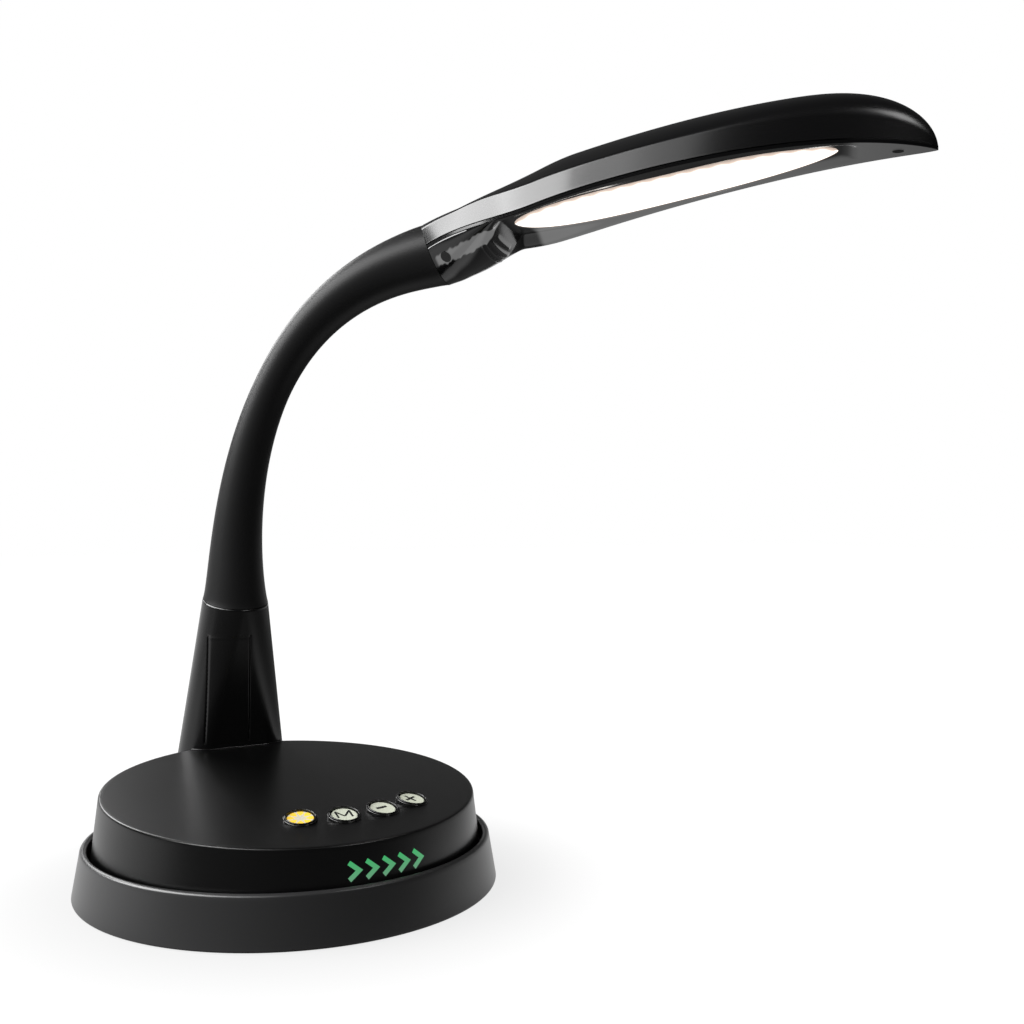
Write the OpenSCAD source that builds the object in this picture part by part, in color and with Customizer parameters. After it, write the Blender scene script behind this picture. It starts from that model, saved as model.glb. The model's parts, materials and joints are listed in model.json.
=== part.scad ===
// LED desk lamp with a turning base, a flexible neck and a long arched head.
// Millimetres, +Z up. The origin is the middle of the base's underside and the controls face -Y.

/* [Base ring] */
// Thickness of the non-slip pad under the base
pad_t = 2; // [1.5:0.5:4]
// Thickness of the steel weight in the ring
weight_t = 7; // [4:0.5:12]
// Thickness of the dish floor above the weight
dish_floor_t = 3; // [2.5:0.5:5]
// Depth of the dish from its rim to its floor
dish_depth = 8; // [5:0.5:12]
// Thickness of the rim
rim_t = 3; // [2:0.2:5]
// How much further out the ring stands at the table than at its rim
ring_flare = 3; // [2:0.2:10]
// Gap all round between the turning drum and the rim
swivel_gap = 1.8; // [1:0.1:3]
// Radius of the spindle that the drum turns on
spindle_r = 8; // [5:0.5:12]

/* [Drum] */
// Radius of the drum's top edge
drum_top_r = 77.9; // [72:0.1:90]
// Height of the drum at its middle
drum_h = 26.4; // [24:0.1:34]
// Inward lean of the drum's wall, in degrees
drum_draft = 6.7; // [2:0.1:9]
// Slope of the drum's top, rising to the back, in degrees
top_slope = 3.9; // [1:0.1:6]
// Thickness of the drum's wall
drum_wall = 2.5; // [2:0.1:4]
// Thickness of the drum's top
top_t = 2.6; // [2:0.1:4]
// Thickness of the drum's floor
drum_floor_t = 3; // [2.5:0.1:4]

/* [Controls] */
// Radius of a button's cap
button_r = 5.3; // [4:0.1:6]
// Width of the bezel round a button
bezel_w = 1; // [0.6:0.1:2]
// Height of the bezel above the drum's top, at the button's middle
bezel_h = 2; // [1:0.1:3]
// Depth of a button's cap below its bezel's edge
cap_sink = 0.7; // [0.3:0.1:1]
// Outward tilt of a button, in degrees
button_tilt = 10; // [0:0.5:14]
// Travel of a button
button_travel = 0.8; // [0.4:0.1:1.5]
// Radius of the arc that the buttons lie on
button_arc_r = 60; // [55:0.5:64]
// Angle between neighbouring buttons, in degrees
button_pitch = 16.5; // [15:0.1:19]
// Turn of the button row to the right of the front, in degrees
button_turn = 5.2; // [0:0.1:10]
// Sideways place of the button arc's centre
button_arc_x = 7.6; // [0:0.1:10]
// Place of the button arc's centre behind the drum's middle
button_arc_y = 10.9; // [8:0.1:14]
// Height of an arrow of the level display
arrow_h = 7.6; // [5:0.1:9]
// Angle of an arrow's arms to its length, in degrees
arrow_lean = 38; // [30:1:50]
// Width of an arrow's stroke
arrow_stroke = 1.75; // [1:0.05:2.5]
// Angle between neighbouring arrows, in degrees
arrow_pitch = 5; // [4.6:0.1:6]
// Turn of the arrow row to the right of the front, in degrees
arrow_turn = 7; // [0:0.5:12]
// Height of the arrows' middle above the drum's lower edge
arrow_up = 11.3; // [10:0.1:14]

/* [Stem] */
// Distance of the stem's front from the drum's top edge
stem_inset = 7.9; // [5:0.1:12]
// Depth of the stem's foot from front to back
stem_depth = 32; // [30:0.5:40]
// Half the width of the stem's foot
stem_half_w = 25.5; // [22:0.5:30]
// Radius of the foot's front corners
stem_corner_r = 13; // [8:0.5:16]
// Height of the stem above its foot
stem_h = 69.8; // [55:0.2:90]
// Place of the neck's axis behind the stem's front
stem_axis_back = 6; // [2:0.5:12]
// Forward lean of the stem's top face, in degrees
stem_lean = 13.9; // [5:0.1:18]
// Thickness of the stem's wall
stem_wall = 2.4; // [2:0.1:3.5]
// Thickness of the stem's solid top
stem_top_t = 8; // [6:0.5:12]
// Width of the stem's front cover
cover_w = 21; // [14:0.5:24]
// Sideways place of the stem's front cover
cover_shift = -6; // [-8:0.5:8]
// Thickness of the stem's front cover
cover_t = 2; // [1.5:0.1:2.3]

/* [Neck] */
// Turn of the arm to the right of the front, in degrees
arm_turn = 45; // [0:1:60]
// Rise of the neck from the stem to the head
neck_rise = 161.3; // [140:0.1:200]
// Reach of the neck from the stem's axis to the head
neck_reach = 102.6; // [85:0.1:130]
// Straightness of the neck's lower end
neck_lower_pull = 17; // [5:0.5:40]
// Straightness of the neck's upper end
neck_upper_pull = 109.6; // [80:0.1:120]
// Upward angle of the neck where it meets the head, in degrees
neck_end_rise = 8.4; // [0:0.1:20]
// Radius of the sleeve at the stem
sleeve_base_r = 15.3; // [13:0.1:18]
// Radius of the sleeve at its waist
sleeve_waist_r = 8.96; // [8.6:0.02:12]
// Place of the waist along the neck, from 0 at the stem to 1 at the head
sleeve_waist_at = 0.6; // [0.4:0.01:0.75]
// Radius of the sleeve at the head
sleeve_head_r = 14.75; // [13:0.05:18]
// Thickness of the rubber sleeve
sleeve_wall = 2.2; // [1.6:0.1:2.4]
// Distance from the neck's ends to its first and last hinge
neck_end_len = 18; // [14:0.5:24]

/* [Head] */
// Length of the head
head_len = 218.4; // [190:0.2:250]
// Width of the head
head_w = 66; // [58:0.5:76]
// Height of the head from its lip to its crown
head_h = 26.1; // [24:0.1:32]
// Height of the side wall below the crown's crease
head_wall_h = 11.9; // [10:0.1:13]
// Rise of the head's lip from the hinge end to the tip
head_rise = 33.4; // [20:0.1:45]
// Wall thickness of the head's shell
head_t = 2.2; // [1.6:0.1:3]
// Thickness of the head's underside panel
panel_t = 2; // [1.6:0.1:2.6]
// Depth of the light above the lip at its end by the neck
light_deep = 4.9; // [3:0.1:6]
// Depth of the light above the lip at its end by the tip
light_shallow = 2.3; // [1:0.1:4]
// Length of the light
light_len = 141.4; // [110:0.2:150]
// Width of the light
light_w = 44.9; // [36:0.1:48]
// Distance from the head's seam to the light
light_start = 36.8; // [36:0.2:50]

/* [Fits] */
// Gap between fixed pieces that fit together
fit = 0.2; // [0.1:0.05:0.3]
// Gap between pieces that move past each other
run_gap = 0.3; // [0.25:0.05:0.5]
// Radial clearance of a hinge pin in its eye
pin_clear = 0.1; // [0.05:0.01:0.2]

/* [Hidden] */
$fn = 96;
far = 400;
tiny = 0.01;

// Heights of the base, stacked up from the table
dish_z = pad_t + weight_t + fit + dish_floor_t;
rim_z = dish_z + dish_depth;
glide_t = 0.8;
drum_z = dish_z + glide_t + run_gap;
top_z = drum_z + drum_h;
floor_top_z = drum_z + drum_floor_t;

// Radii of the base, worked out from the drum
function drum_r(z) = drum_top_r + (top_z - z) * tan(drum_draft);
rim_in_r = drum_r(rim_z) + swivel_gap;
rim_out_r = rim_in_r + rim_t;
ring_r = rim_out_r + ring_flare;
dish_r = max(rim_in_r, drum_r(drum_z) + run_gap + swivel_gap / 2);
ring_lift = 0.4;
ring_corner_r = 0.8;
pocket_wall = 3.5;
pocket_r = rim_out_r - pocket_wall;
pad_r = pocket_r - fit;

// The spindle and what holds the drum on it
flange_r = spindle_r + 12;
flange_t = 2.6;
spindle_screw_r = spindle_r + 7;
weight_hole_r = flange_r + 2;
washer_t = 1.2;
washer_lip = 4;
spindle_end = 1;
nut_t = 4;
nut_r = spindle_r + 4;
glide_in_r = 58;
glide_out_r = 66;

// Screws share one size
screw_r = 1.5;
pilot_r = screw_r + fit / 2;
screw_head_r = 2.8;
screw_head_h = 1.6;
boss_r = 4;
floor_boss_r = 64;
floor_boss_angles = [70, 130, 230, 290];
floor_screw_len = 9;

// Controls, in the frame of the sloping top
board_t = 1.6;
board_drop = 10.2;
switch_w = 6;
switch_h = 3.2;
plunger_r = 1.5;
plunger_h = 0.8;
bezel_hole_r = button_r + run_gap + bezel_w / 2;
button_skirt = top_t + 0.6;
button_room = button_skirt + button_travel + run_gap;
button_rise = bezel_h - cap_sink;
button_stem_r = 2;
button_stem_end = (board_drop - switch_h - plunger_h - run_gap - button_stem_r * sin(button_tilt))
    / cos(button_tilt) - button_travel;
control_board_w = 24;
control_board_len = 3 * button_pitch * button_arc_r * PI / 180 + 18;
control_board_y = -button_arc_r - 13;
control_post_r = 2.4;
control_post_in = 3;
driver_x = -36;
driver_y = 18;
driver_up = 4;
driver_len = 40;
driver_w = 30;
driver_post_r = 2.6;
driver_post_in = 3;
coil_w = 11;
coil_h = 7;
capacitor_r = 3.2;
capacitor_h = 8;
chip_len = 14;
chip_w = 5;
chip_h = 2;
arrow_count = 5;
arrow_proud = 0.15;
arrow_depth = 5;
indicator_r = 69;
indicator_h = 15;
indicator_led_w = 3;
indicator_led_t = 1.6;

// Stem
stem_front_y = drum_top_r - stem_inset;
stem_axis_y = stem_front_y + stem_axis_back;
stem_back_y = stem_front_y + stem_depth;
stem_back_r = stem_depth / 2;
stem_foot_z = top_z + stem_front_y * tan(top_slope);
stem_base_z = stem_foot_z - top_t - 1;
stem_top_z = stem_foot_z + stem_h;
skirt_z = rim_z + 2.8;
stem_sides = 48;
foot_circles = [[stem_half_w - stem_corner_r, stem_front_y + stem_corner_r, stem_corner_r],
    [stem_corner_r - stem_half_w, stem_front_y + stem_corner_r, stem_corner_r],
    [0, stem_back_y - stem_back_r, stem_back_r]];
// Furthest point of the foot's outline in a direction
function foot_point(angle, shrink) =
    let (u = [cos(angle), sin(angle)], far_out = [for (c = foot_circles) c[0] * u[0] + c[1] * u[1] + c[2]],
        best = far_out[0] >= max(far_out) ? 0 : far_out[1] >= max(far_out) ? 1 : 2, c = foot_circles[best])
    [c[0] + (c[2] - shrink) * u[0], c[1] + (c[2] - shrink) * u[1]];
function foot_ring(shrink, z) = [for (i = [0:stem_sides - 1])
    let (q = foot_point(360 * (i + 0.5) / stem_sides, shrink)) [q[0], q[1], z]];
function top_ring(shrink, drop) = [for (i = [0:stem_sides - 1])
    let (a = 360 * (i + 0.5) / stem_sides, r = sleeve_base_r - shrink, y = r * sin(a))
    [r * cos(a), stem_axis_y + y * cos(stem_lean) + drop * sin(stem_lean),
        stem_top_z + y * sin(stem_lean) - drop * cos(stem_lean)]];
cover_foot_up = 4;
cover_top_down = 17;
stem_screw_x = stem_half_w - stem_corner_r + 2;
stem_screw_y = stem_front_y + 4.4;
stem_boss_h = 9;
stem_seat_z = stem_foot_z - top_t - 2 * fit;
jack_r = 2.9;
jack_pin_r = 1.05;
jack_depth = 9;
jack_body_w = 11;
jack_wall = 1.3;
jack_z = skirt_z + 10;
jack_back_y = stem_back_y - 0.8;
jack_body_y = stem_back_y - stem_back_r - fit
    + sqrt((stem_back_r - stem_wall) ^ 2 - (jack_body_w / 2) ^ 2);

// Neck curve in the arm's upright plane: [distance from the stem's axis, height]
neck_a = [0, stem_top_z];
neck_b = [0, stem_top_z + neck_lower_pull];
neck_d = [neck_reach, stem_top_z + neck_rise];
neck_c = [neck_reach - neck_upper_pull * cos(neck_end_rise),
    stem_top_z + neck_rise - neck_upper_pull * sin(neck_end_rise)];
function neck_point(t) =
    (1 - t) ^ 3 * neck_a + 3 * (1 - t) ^ 2 * t * neck_b + 3 * (1 - t) * t ^ 2 * neck_c + t ^ 3 * neck_d;
function neck_run(t) =
    (1 - t) ^ 2 * (neck_b - neck_a) + 2 * (1 - t) * t * (neck_c - neck_b) + t ^ 2 * (neck_d - neck_c);
function neck_angle(t) = atan2(neck_run(t)[1], neck_run(t)[0]);
neck_steps = 60;
neck_chords = [for (i = [1:neck_steps])
    norm(neck_point(i / neck_steps) - neck_point((i - 1) / neck_steps))];
function sum_to(list, n) = n == 0 ? 0 : list[n - 1] + sum_to(list, n - 1);
neck_table = [for (i = [0:neck_steps]) [sum_to(neck_chords, i), i / neck_steps]];
neck_len = neck_table[neck_steps][0];
function smooth(x) = x <= 0 ? 0 : x >= 1 ? 1 : x * x * (3 - 2 * x);

// Hinges along the neck: odd ones bend it up and down, even ones sideways
hinge_count = 7;
hinge_gap = (neck_len - 2 * neck_end_len) / (hinge_count - 1);
function hinge_t(k) = lookup(neck_end_len + (k - 1) * hinge_gap, neck_table);
function hinge_point(k) = neck_point(hinge_t(k));
core_r = 4.2;
ferrule_lip = 5;
ferrule_flange_t = 2.4;
ferrule_tail = 6;
knuckle_r = 4;
knuckle_reach = knuckle_r + 1.2;
hinge_pin_r = 1.6;
tongue_t = 3;
ear_t = 2.2;
ear_gap = 0.3;

// Sleeve
sleeve_sides = 24;
sleeve_rings = 4;
sleeve_waist_curve = 1.4;
function sleeve_r(t) = t < sleeve_waist_at
    ? sleeve_waist_r + (sleeve_base_r - sleeve_waist_r) * ((sleeve_waist_at - t) / sleeve_waist_at)
        ^ sleeve_waist_curve
    : sleeve_waist_r + (sleeve_head_r - sleeve_waist_r)
        * ((t - sleeve_waist_at) / (1 - sleeve_waist_at)) ^ 2;
seam_gap = 0.3;
seam_tilt = 20;
front_in_arm = [cos(arm_turn), -sin(arm_turn), 0];
first_hinge_t = hinge_t(1);
last_hinge_t = hinge_t(hinge_count);
// Direction that a ring of the sleeve faces: it follows the curve, and each end turns to its seam
function ring_normal(t) =
    let (a = neck_angle(t), low = 1 - smooth(t / first_hinge_t),
        high = smooth((t - last_hinge_t) / (1 - last_hinge_t)))
    [cos(a), 0, sin(a)] + low * tan(stem_lean) * front_in_arm
        + high * ([cos(seam_tilt), 0, sin(seam_tilt)] - [cos(a), 0, sin(a)]);
function unit(v) = v / norm(v);
function ring(t, r, lift) =
    let (n = unit(ring_normal(t)), up = unit(cross(n, [0, 1, 0])), side = cross(up, n), p = neck_point(t))
    [for (i = [0:sleeve_sides - 1]) [p[0], 0, p[1]] + lift * n
        + r * (cos(360 * i / sleeve_sides) * side + sin(360 * i / sleeve_sides) * up)];

// Head, measured along the arm from its seam with the sleeve
head_s = neck_reach;
head_tip_s = head_s + head_len;
root_r = sleeve_head_r;
root_z = stem_top_z + neck_rise;
lip_peak_s = head_tip_s - 15;
lip_curve = 1.82;
root_lift = 6.2;
root_len = 52.5;
root_zone = 56;
lean_len = 16;
swell_len = 35;
crown_len = 67.3;
nose_s = head_s + 0.274 * head_len;
nose_run = 56.8;
nose_h_s = head_tip_s - nose_run;
nose_curve = 2.07;
nose_root = 1.29;
droop = 1.3;
droop_len = 60;
lip_full_run = lip_peak_s - head_s;
function lip_z(s) = root_z - root_lift * smooth((s - head_s) / root_len)
    + (head_rise + root_lift) * (1 - (abs(lip_peak_s - s) / lip_full_run) ^ lip_curve)
    - droop * max(0, 1 - (head_tip_s - s) / droop_len) ^ 2;
function seam_lean(s) = seam_tilt * (1 - smooth((s - head_s) / lean_len));
function nose(s, from, power, root) =
    s <= from ? 1 : s >= head_tip_s ? 0 : (1 - ((s - from) / (head_tip_s - from)) ^ power) ^ (1 / root);
function head_half(s) =
    (root_r + (head_w / 2 - root_r) * smooth((s - head_s) / swell_len))
        * nose(s, nose_s, nose_curve, nose_root);
function crown_h(s) =
    (root_r + (head_h - root_r) * smooth((s - head_s) / crown_len)) * nose(s, nose_h_s, 2.6, 2);
root_wall_h = 9.6;
function wall_h(s) = (root_wall_h + (head_wall_h - root_wall_h) * smooth((s - head_s) / swell_len))
    * nose(s, nose_h_s, 2.6, 2);
crease_in = 0.94;
function dome_power(s) = 1 - 0.45 * smooth((s - nose_s) / (0.5 * head_len));
function head_point(s, v, h) = [s - h * sin(seam_lean(s)), v, lip_z(s) + h * cos(seam_lean(s))];
lip_t = 1.4;
shell_start_h = lip_t + run_gap;
dome_steps = 5;
// Half of a section of the shell's skin, [v, h] from its lower edge to its crown
function skin(w, wall, crown, low, power) =
    let (turn = max(wall, low + 0.3 * (crown - low)))
    concat([[w, low], [0.985 * w, low + 0.5 * (turn - low)]],
        [for (i = [0:dome_steps]) let (f = cos(90 * i / dome_steps))
            [crease_in * w * f, turn + (crown - turn) * (1 - f * f) ^ power]]);
function mirrored(half) = concat(half, [for (i = [len(half) - 2:-1:0]) [-half[i][0], half[i][1]]]);
shell_end_gap = 0.8;
function shell_in_half(s) = max(head_half(s + head_t) - head_t, 0.3 * head_half(s));
function shell_ring(s) =
    let (low = shell_start_h, in_w = shell_in_half(s),
        in_h = max(crown_h(s + head_t) - head_t, low + 0.3 * (crown_h(s) - low)),
        out = mirrored(skin(head_half(s), wall_h(s), crown_h(s), low, dome_power(s))),
        hollow = mirrored(skin(in_w, min(wall_h(s) - head_t / 3, in_h * 0.7), in_h, low, dome_power(s))))
    [for (p = concat(out, [for (i = [len(hollow) - 1:-1:0]) hollow[i]])) head_point(s, p[0], p[1])];
root_steps = 12;
middle_steps = 4;
nose_steps = 10;
function stations(from, to) = concat(
    [for (i = [0:root_steps]) from + root_zone * i / root_steps],
    [for (i = [1:middle_steps]) from + root_zone + (nose_s + 30 - from - root_zone) * i / middle_steps],
    [for (i = [1:nose_steps]) nose_s + 30 + (to - nose_s - 30) * sin(90 * i / nose_steps)]);

// The light is a flat plate whose ends lie above the lip
light_s = head_s + light_start;
light_end_s = light_s + light_len;
light_z0 = lip_z(light_s) + light_deep;
light_z1 = lip_z(light_end_s) + light_shallow;
light_sink = 0.3;
function light_h(s) = light_z0 + (light_z1 - light_z0) * (s - light_s) / light_len - lip_z(s);

// Underside panel: a round belly at the seam, then a shallow recess round the light
belly_len = 35;
belly_curve = 3;
recess_slope = 8;
panel_rim = head_t + 2 * fit;
function belly(s) = root_r * (1 - min(1, (s - head_s) / belly_len) ^ belly_curve);
function recess(s) = (light_h(s) - light_sink) * smooth((s - light_s) / recess_slope + 1)
    * (1 - smooth((s - light_end_s - 1) / recess_slope));
function recess_share(s, f) = smooth(((1 - abs(f)) * head_half(s) - panel_rim) / recess_slope);
function panel_low(s, f) = recess(s) * recess_share(s, f) - belly(s) * sqrt(max(0, 1 - f * f));
function panel_high(s, f) = recess(s) * recess_share(s, f) + max(panel_t - belly(s), 0)
    - max(belly(s) - panel_t, 0) * sqrt(max(0, 1 - f * f));
panel_steps = 8;
function across(i) = sin(90 * i / panel_steps);
function panel_ring(s) =
    let (w = head_half(s), in_w = max(min(w - panel_rim, shell_in_half(s) - 2 * fit), 0.2 * w))
    [for (p = concat([for (i = [-panel_steps:panel_steps]) [across(i) * w, panel_low(s, across(i))]],
            [[w, lip_t], [in_w, lip_t]],
            [for (i = [panel_steps - 1:-1:1 - panel_steps]) [across(i) * in_w, panel_high(s, across(i))]],
            [[-in_w, lip_t], [-w, lip_t]]))
        head_point(s, p[0], p[1])];

// The light: a leaf shape seen from below
light_flange = 1.6;
light_t = 2;
light_flange_t = 1.3;
leaf_steps = 18;
leaf_tip = 0.8;
leaf_curve = 2.84;
function leaf_half(s) =
    light_w / 2 * sqrt(max(0, 1 - abs(2 * (s - light_s) / light_len - 1) ^ leaf_curve));
function leaf_station(i) =
    light_s + leaf_tip + (light_len - 2 * leaf_tip) * (1 - cos(180 * i / leaf_steps)) / 2;
function light_ring(s) =
    let (w = leaf_half(s), f = w + light_flange, low = light_h(s),
        mid = max(low - light_sink, 0) + panel_t + run_gap, high = mid + light_flange_t)
    [for (p = [[-f, mid], [-w, mid], [-w, low], [w, low], [w, mid], [f, mid],
            [f, high], [0.8 * w, high], [0.4 * w, high], [-0.4 * w, high], [-0.8 * w, high], [-f, high]])
        head_point(s, p[0], p[1])];
// Half of the window's outline, from the neck's end to the tip's end
window_half = [for (i = [0:leaf_steps]) let (s = leaf_station(i))
    [s + (i == 0 ? -run_gap : i == leaf_steps ? run_gap : 0), leaf_half(s) + run_gap]];
window_edge = concat(window_half, [for (i = [leaf_steps:-1:0]) [window_half[i][0], -window_half[i][1]]]);

// The light's board lies straight between its two ends above the diffuser
led_inset = 6;
led_board_up = 12;
led_board_w = 18;
led_w = 2.8;
led_t = 0.9;
led_count = 14;
led_row_gap = 8;
sink_t = 2;
sink_fin_h = 2.5;
sink_fin_t = 1.4;
sink_post_r = 3;
board_s0 = light_s + led_inset;
board_s1 = light_end_s - led_inset;
board_z0 = lip_z(board_s0) + led_board_up;
board_z1 = lip_z(board_s1) + led_board_up;
led_board_tilt = atan2(board_z1 - board_z0, board_s1 - board_s0);
led_board_len = norm([board_s1 - board_s0, board_z1 - board_z0]);
function board_line_z(s) = board_z0 + (board_z1 - board_z0) * (s - board_s0) / (board_s1 - board_s0);
sink_posts = [0.14, 0.5, 0.84];
head_screw_s = [head_s + 13, head_tip_s - 16];
head_screw_sink = 1;
head_boss_h = 6;
function rod_low(s) = root_z + (s - head_s) * tan(neck_end_rise) - core_r / cos(neck_end_rise);
root_boss_z = lip_z(head_screw_s[0]) + panel_low(head_screw_s[0], 0) + 0.7 * panel_t;
root_boss_h = rod_low(head_screw_s[0] - boss_r) - 2 * fit - root_boss_z;
shell_boss_r = 3;

// Sides of a skin through m rings of n points each
function ring_sides(n, m) = [for (j = [0:m - 2], i = [0:n - 1]) let (a = j * n + i, b = j * n + (i + 1) % n)
    each [[b, a, a + n], [b + n, b, a + n]]];

// Closed skin through a list of rings, each end closed by one flat face
module loft(rings) {
    n = len(rings[0]);
    m = len(rings);
    ends = [[for (i = [0:n - 1]) i], [for (i = [n - 1:-1:0]) (m - 1) * n + i]];
    polyhedron(points = [for (r = rings) each r], faces = concat(ring_sides(n, m), ends), convexity = 4);
}

// Closed skin of a strip: each ring runs along one face and then back along the other
module strip_loft(rings) {
    n = len(rings[0]);
    m = len(rings);
    first = [for (i = [0:n / 2 - 2]) each [[i, i + 1, n - 1 - i], [n - 2 - i, n - 1 - i, i + 1]]];
    last = [for (f = first) [f[2], f[1], f[0]] + (m - 1) * n * [1, 1, 1]];
    polyhedron(points = [for (r = rings) each r], faces = concat(ring_sides(n, m), first, last),
        convexity = 8);
}

// Hollow tube through pairs of outer and inner rings
module tube_loft(outer, inner) {
    n = len(outer[0]);
    m = len(outer);
    count = n * m;
    outside = ring_sides(n, m);
    inside = [for (f = outside) [f[2], f[1], f[0]] + count * [1, 1, 1]];
    low = [for (i = [0:n - 1]) let (b = (i + 1) % n) each [[i, b, i + count], [b + count, i + count, b]]];
    high = [for (f = low) [f[2], f[1], f[0]] + (m - 1) * n * [1, 1, 1]];
    polyhedron(points = [for (r = concat(outer, inner)) each r], faces = concat(outside, inside, low, high),
        convexity = 6);
}

module on_top() {
    translate([0, 0, top_z]) rotate([top_slope, 0, 0]) children();
}

module from_front(angle) {
    rotate([0, 0, angle]) children();
}

module on_button_arc() {
    on_top() translate([button_arc_x, button_arc_y, 0]) rotate([0, 0, button_turn]) children();
}

module at_button(i) {
    on_button_arc() rotate([0, 0, (i - 1.5) * button_pitch]) translate([0, -button_arc_r, 0]) children();
}

// A button's own frame, leaning outward
module at_cap(i) {
    at_button(i) rotate([button_tilt, 0, 0]) children();
}

module in_arm() {
    translate([0, stem_axis_y, 0]) rotate([0, 0, arm_turn - 90]) children();
}

module on_stem_top() {
    translate([0, stem_axis_y, stem_top_z]) rotate([stem_lean, 0, 0]) children();
}

module screw(length) {
    cylinder(r = screw_head_r, h = screw_head_h);
    cylinder(r = screw_r, h = length);
}

// Base ring: a flared dish with a rounded rim, hollow underneath for the weight
module base_ring() {
    color([0.05, 0.05, 0.055]) difference() {
        rotate_extrude($fn = 180) difference() {
            union() {
                polygon([[0, ring_lift], [ring_r - ring_corner_r, ring_lift],
                    [ring_r, ring_lift + ring_corner_r], [rim_out_r, rim_z - rim_t / 2],
                    [rim_in_r, rim_z - rim_t / 2], [dish_r, dish_z], [0, dish_z]]);
                translate([rim_in_r + rim_t / 2, rim_z - rim_t / 2]) circle(r = rim_t / 2);
            }
            translate([-tiny, -tiny]) square([pocket_r + tiny, pad_t + weight_t + fit + tiny]);
        }
        translate([0, 0, -1]) cylinder(r = spindle_r + fit, h = rim_z);
        for (a = [30, 150, 270]) from_front(a) translate([spindle_screw_r, 0, 0])
            cylinder(r = pilot_r, h = dish_z - 0.6);
    }
}

module foot_pad() {
    color([0.1, 0.1, 0.1]) cylinder(r = pad_r, h = pad_t);
}

module steel_weight() {
    color([0.45, 0.46, 0.48]) translate([0, 0, pad_t]) difference() {
        cylinder(r = pocket_r - 1, h = weight_t);
        translate([0, 0, -1]) cylinder(r = weight_hole_r, h = weight_t + 2);
    }
}

module pivot_spindle() {
    flange_z = dish_z - dish_floor_t - flange_t;
    color([0.7, 0.7, 0.72]) difference() {
        translate([0, 0, flange_z]) union() {
            cylinder(r = flange_r, h = flange_t);
            cylinder(r = spindle_r, h = floor_top_z + run_gap + washer_t + nut_t + spindle_end - flange_z);
        }
        for (a = [30, 150, 270]) from_front(a) translate([spindle_screw_r, 0, 0])
            cylinder(r = screw_r + fit, h = dish_z);
    }
}

module spindle_screws() {
    color([0.6, 0.6, 0.62]) for (a = [30, 150, 270]) from_front(a)
        translate([spindle_screw_r, 0, dish_z - dish_floor_t - flange_t - screw_head_h]) difference() {
            screw(screw_head_h + flange_t + dish_floor_t - 1);
            translate([-0.4, -2, -1]) cube([0.8, 4, 1.8]);
        }
}

module glide_ring() {
    color([0.9, 0.9, 0.88]) translate([0, 0, dish_z]) difference() {
        cylinder(r = glide_out_r, h = glide_t);
        translate([0, 0, -1]) cylinder(r = glide_in_r, h = glide_t + 2);
    }
}

module spindle_washer() {
    color([0.75, 0.75, 0.76]) translate([0, 0, floor_top_z + run_gap]) difference() {
        cylinder(r = nut_r + washer_lip, h = washer_t);
        translate([0, 0, -1]) cylinder(r = spindle_r + fit, h = washer_t + 2);
    }
}

module spindle_nut() {
    color([0.6, 0.6, 0.62]) translate([0, 0, floor_top_z + run_gap + washer_t]) difference() {
        cylinder(r = nut_r, h = nut_t, $fn = 6);
        translate([0, 0, -1]) cylinder(r = spindle_r + fit / 2, h = nut_t + 2);
    }
}

// The drum's outer form, grown or shrunk all round and lowered at its top
module drum_form(grow, drop, bottom) {
    height = top_z + 20 - bottom;
    difference() {
        translate([0, 0, bottom])
            cylinder(r1 = drum_r(bottom) + grow, r2 = drum_r(bottom + height) + grow, h = height,
                $fn = 180);
        on_top() translate([-far / 2, -far / 2, -drop]) cube([far, far, far]);
    }
}

module arrow_prism(i, grow, depth) {
    out = [-cos(arrow_lean), sin(arrow_lean)];
    tip = [arrow_h / 4 / tan(arrow_lean) + arrow_stroke / 2 + grow / sin(arrow_lean), 0];
    end = tip + (arrow_h / 2 / sin(arrow_lean) + grow / tan(arrow_lean) + grow) * out;
    inner = end + (arrow_stroke + 2 * grow) * [-out[1], out[0]];
    notch = tip - [(arrow_stroke + 2 * grow) / sin(arrow_lean), 0];
    angle = arrow_turn + (i - (arrow_count - 1) / 2) * arrow_pitch;
    from_front(angle) translate([0, -drum_r(drum_z + arrow_up) - 1 + depth, drum_z + arrow_up])
        rotate([90, 0, 0]) linear_extrude(depth)
            polygon([tip, end, inner, notch, [inner[0], -inner[1]], [end[0], -end[1]]]);
}

module drum_shell() {
    color([0.06, 0.06, 0.065]) difference() {
        union() {
            difference() {
                drum_form(0, 0, drum_z);
                drum_form(-drum_wall, top_t, drum_z - 5);
            }
            intersection() {
                drum_form(-drum_wall / 2, top_t / 2, drum_z);
                union() {
                    for (a = floor_boss_angles) from_front(a)
                        translate([0, -floor_boss_r, floor_top_z + fit])
                            cylinder(r = boss_r, h = drum_h * 2);
                    on_button_arc() for (x = [-1, 1], y = [0, 1])
                        translate([x * (control_board_len / 2 - control_post_in), control_board_y
                            + control_post_in + y * (control_board_w - 2 * control_post_in), -board_drop])
                            cylinder(r = control_post_r, h = board_drop);
                }
            }
        }
        for (a = floor_boss_angles) from_front(a) translate([0, -floor_boss_r, drum_z])
            cylinder(r = pilot_r, h = floor_screw_len + 2);
        for (i = [0:3]) at_cap(i) translate([0, 0, -button_room])
            cylinder(r = bezel_hole_r + fit, h = button_room + bezel_h);
        for (i = [0:arrow_count - 1]) arrow_prism(i, fit / 2, arrow_depth + 2);
        stem_screw_room();
        translate([0, 0, skirt_z + 4]) rotate([-90, 0, 0]) cylinder(r = 2.5, h = far);
    }
}

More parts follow.
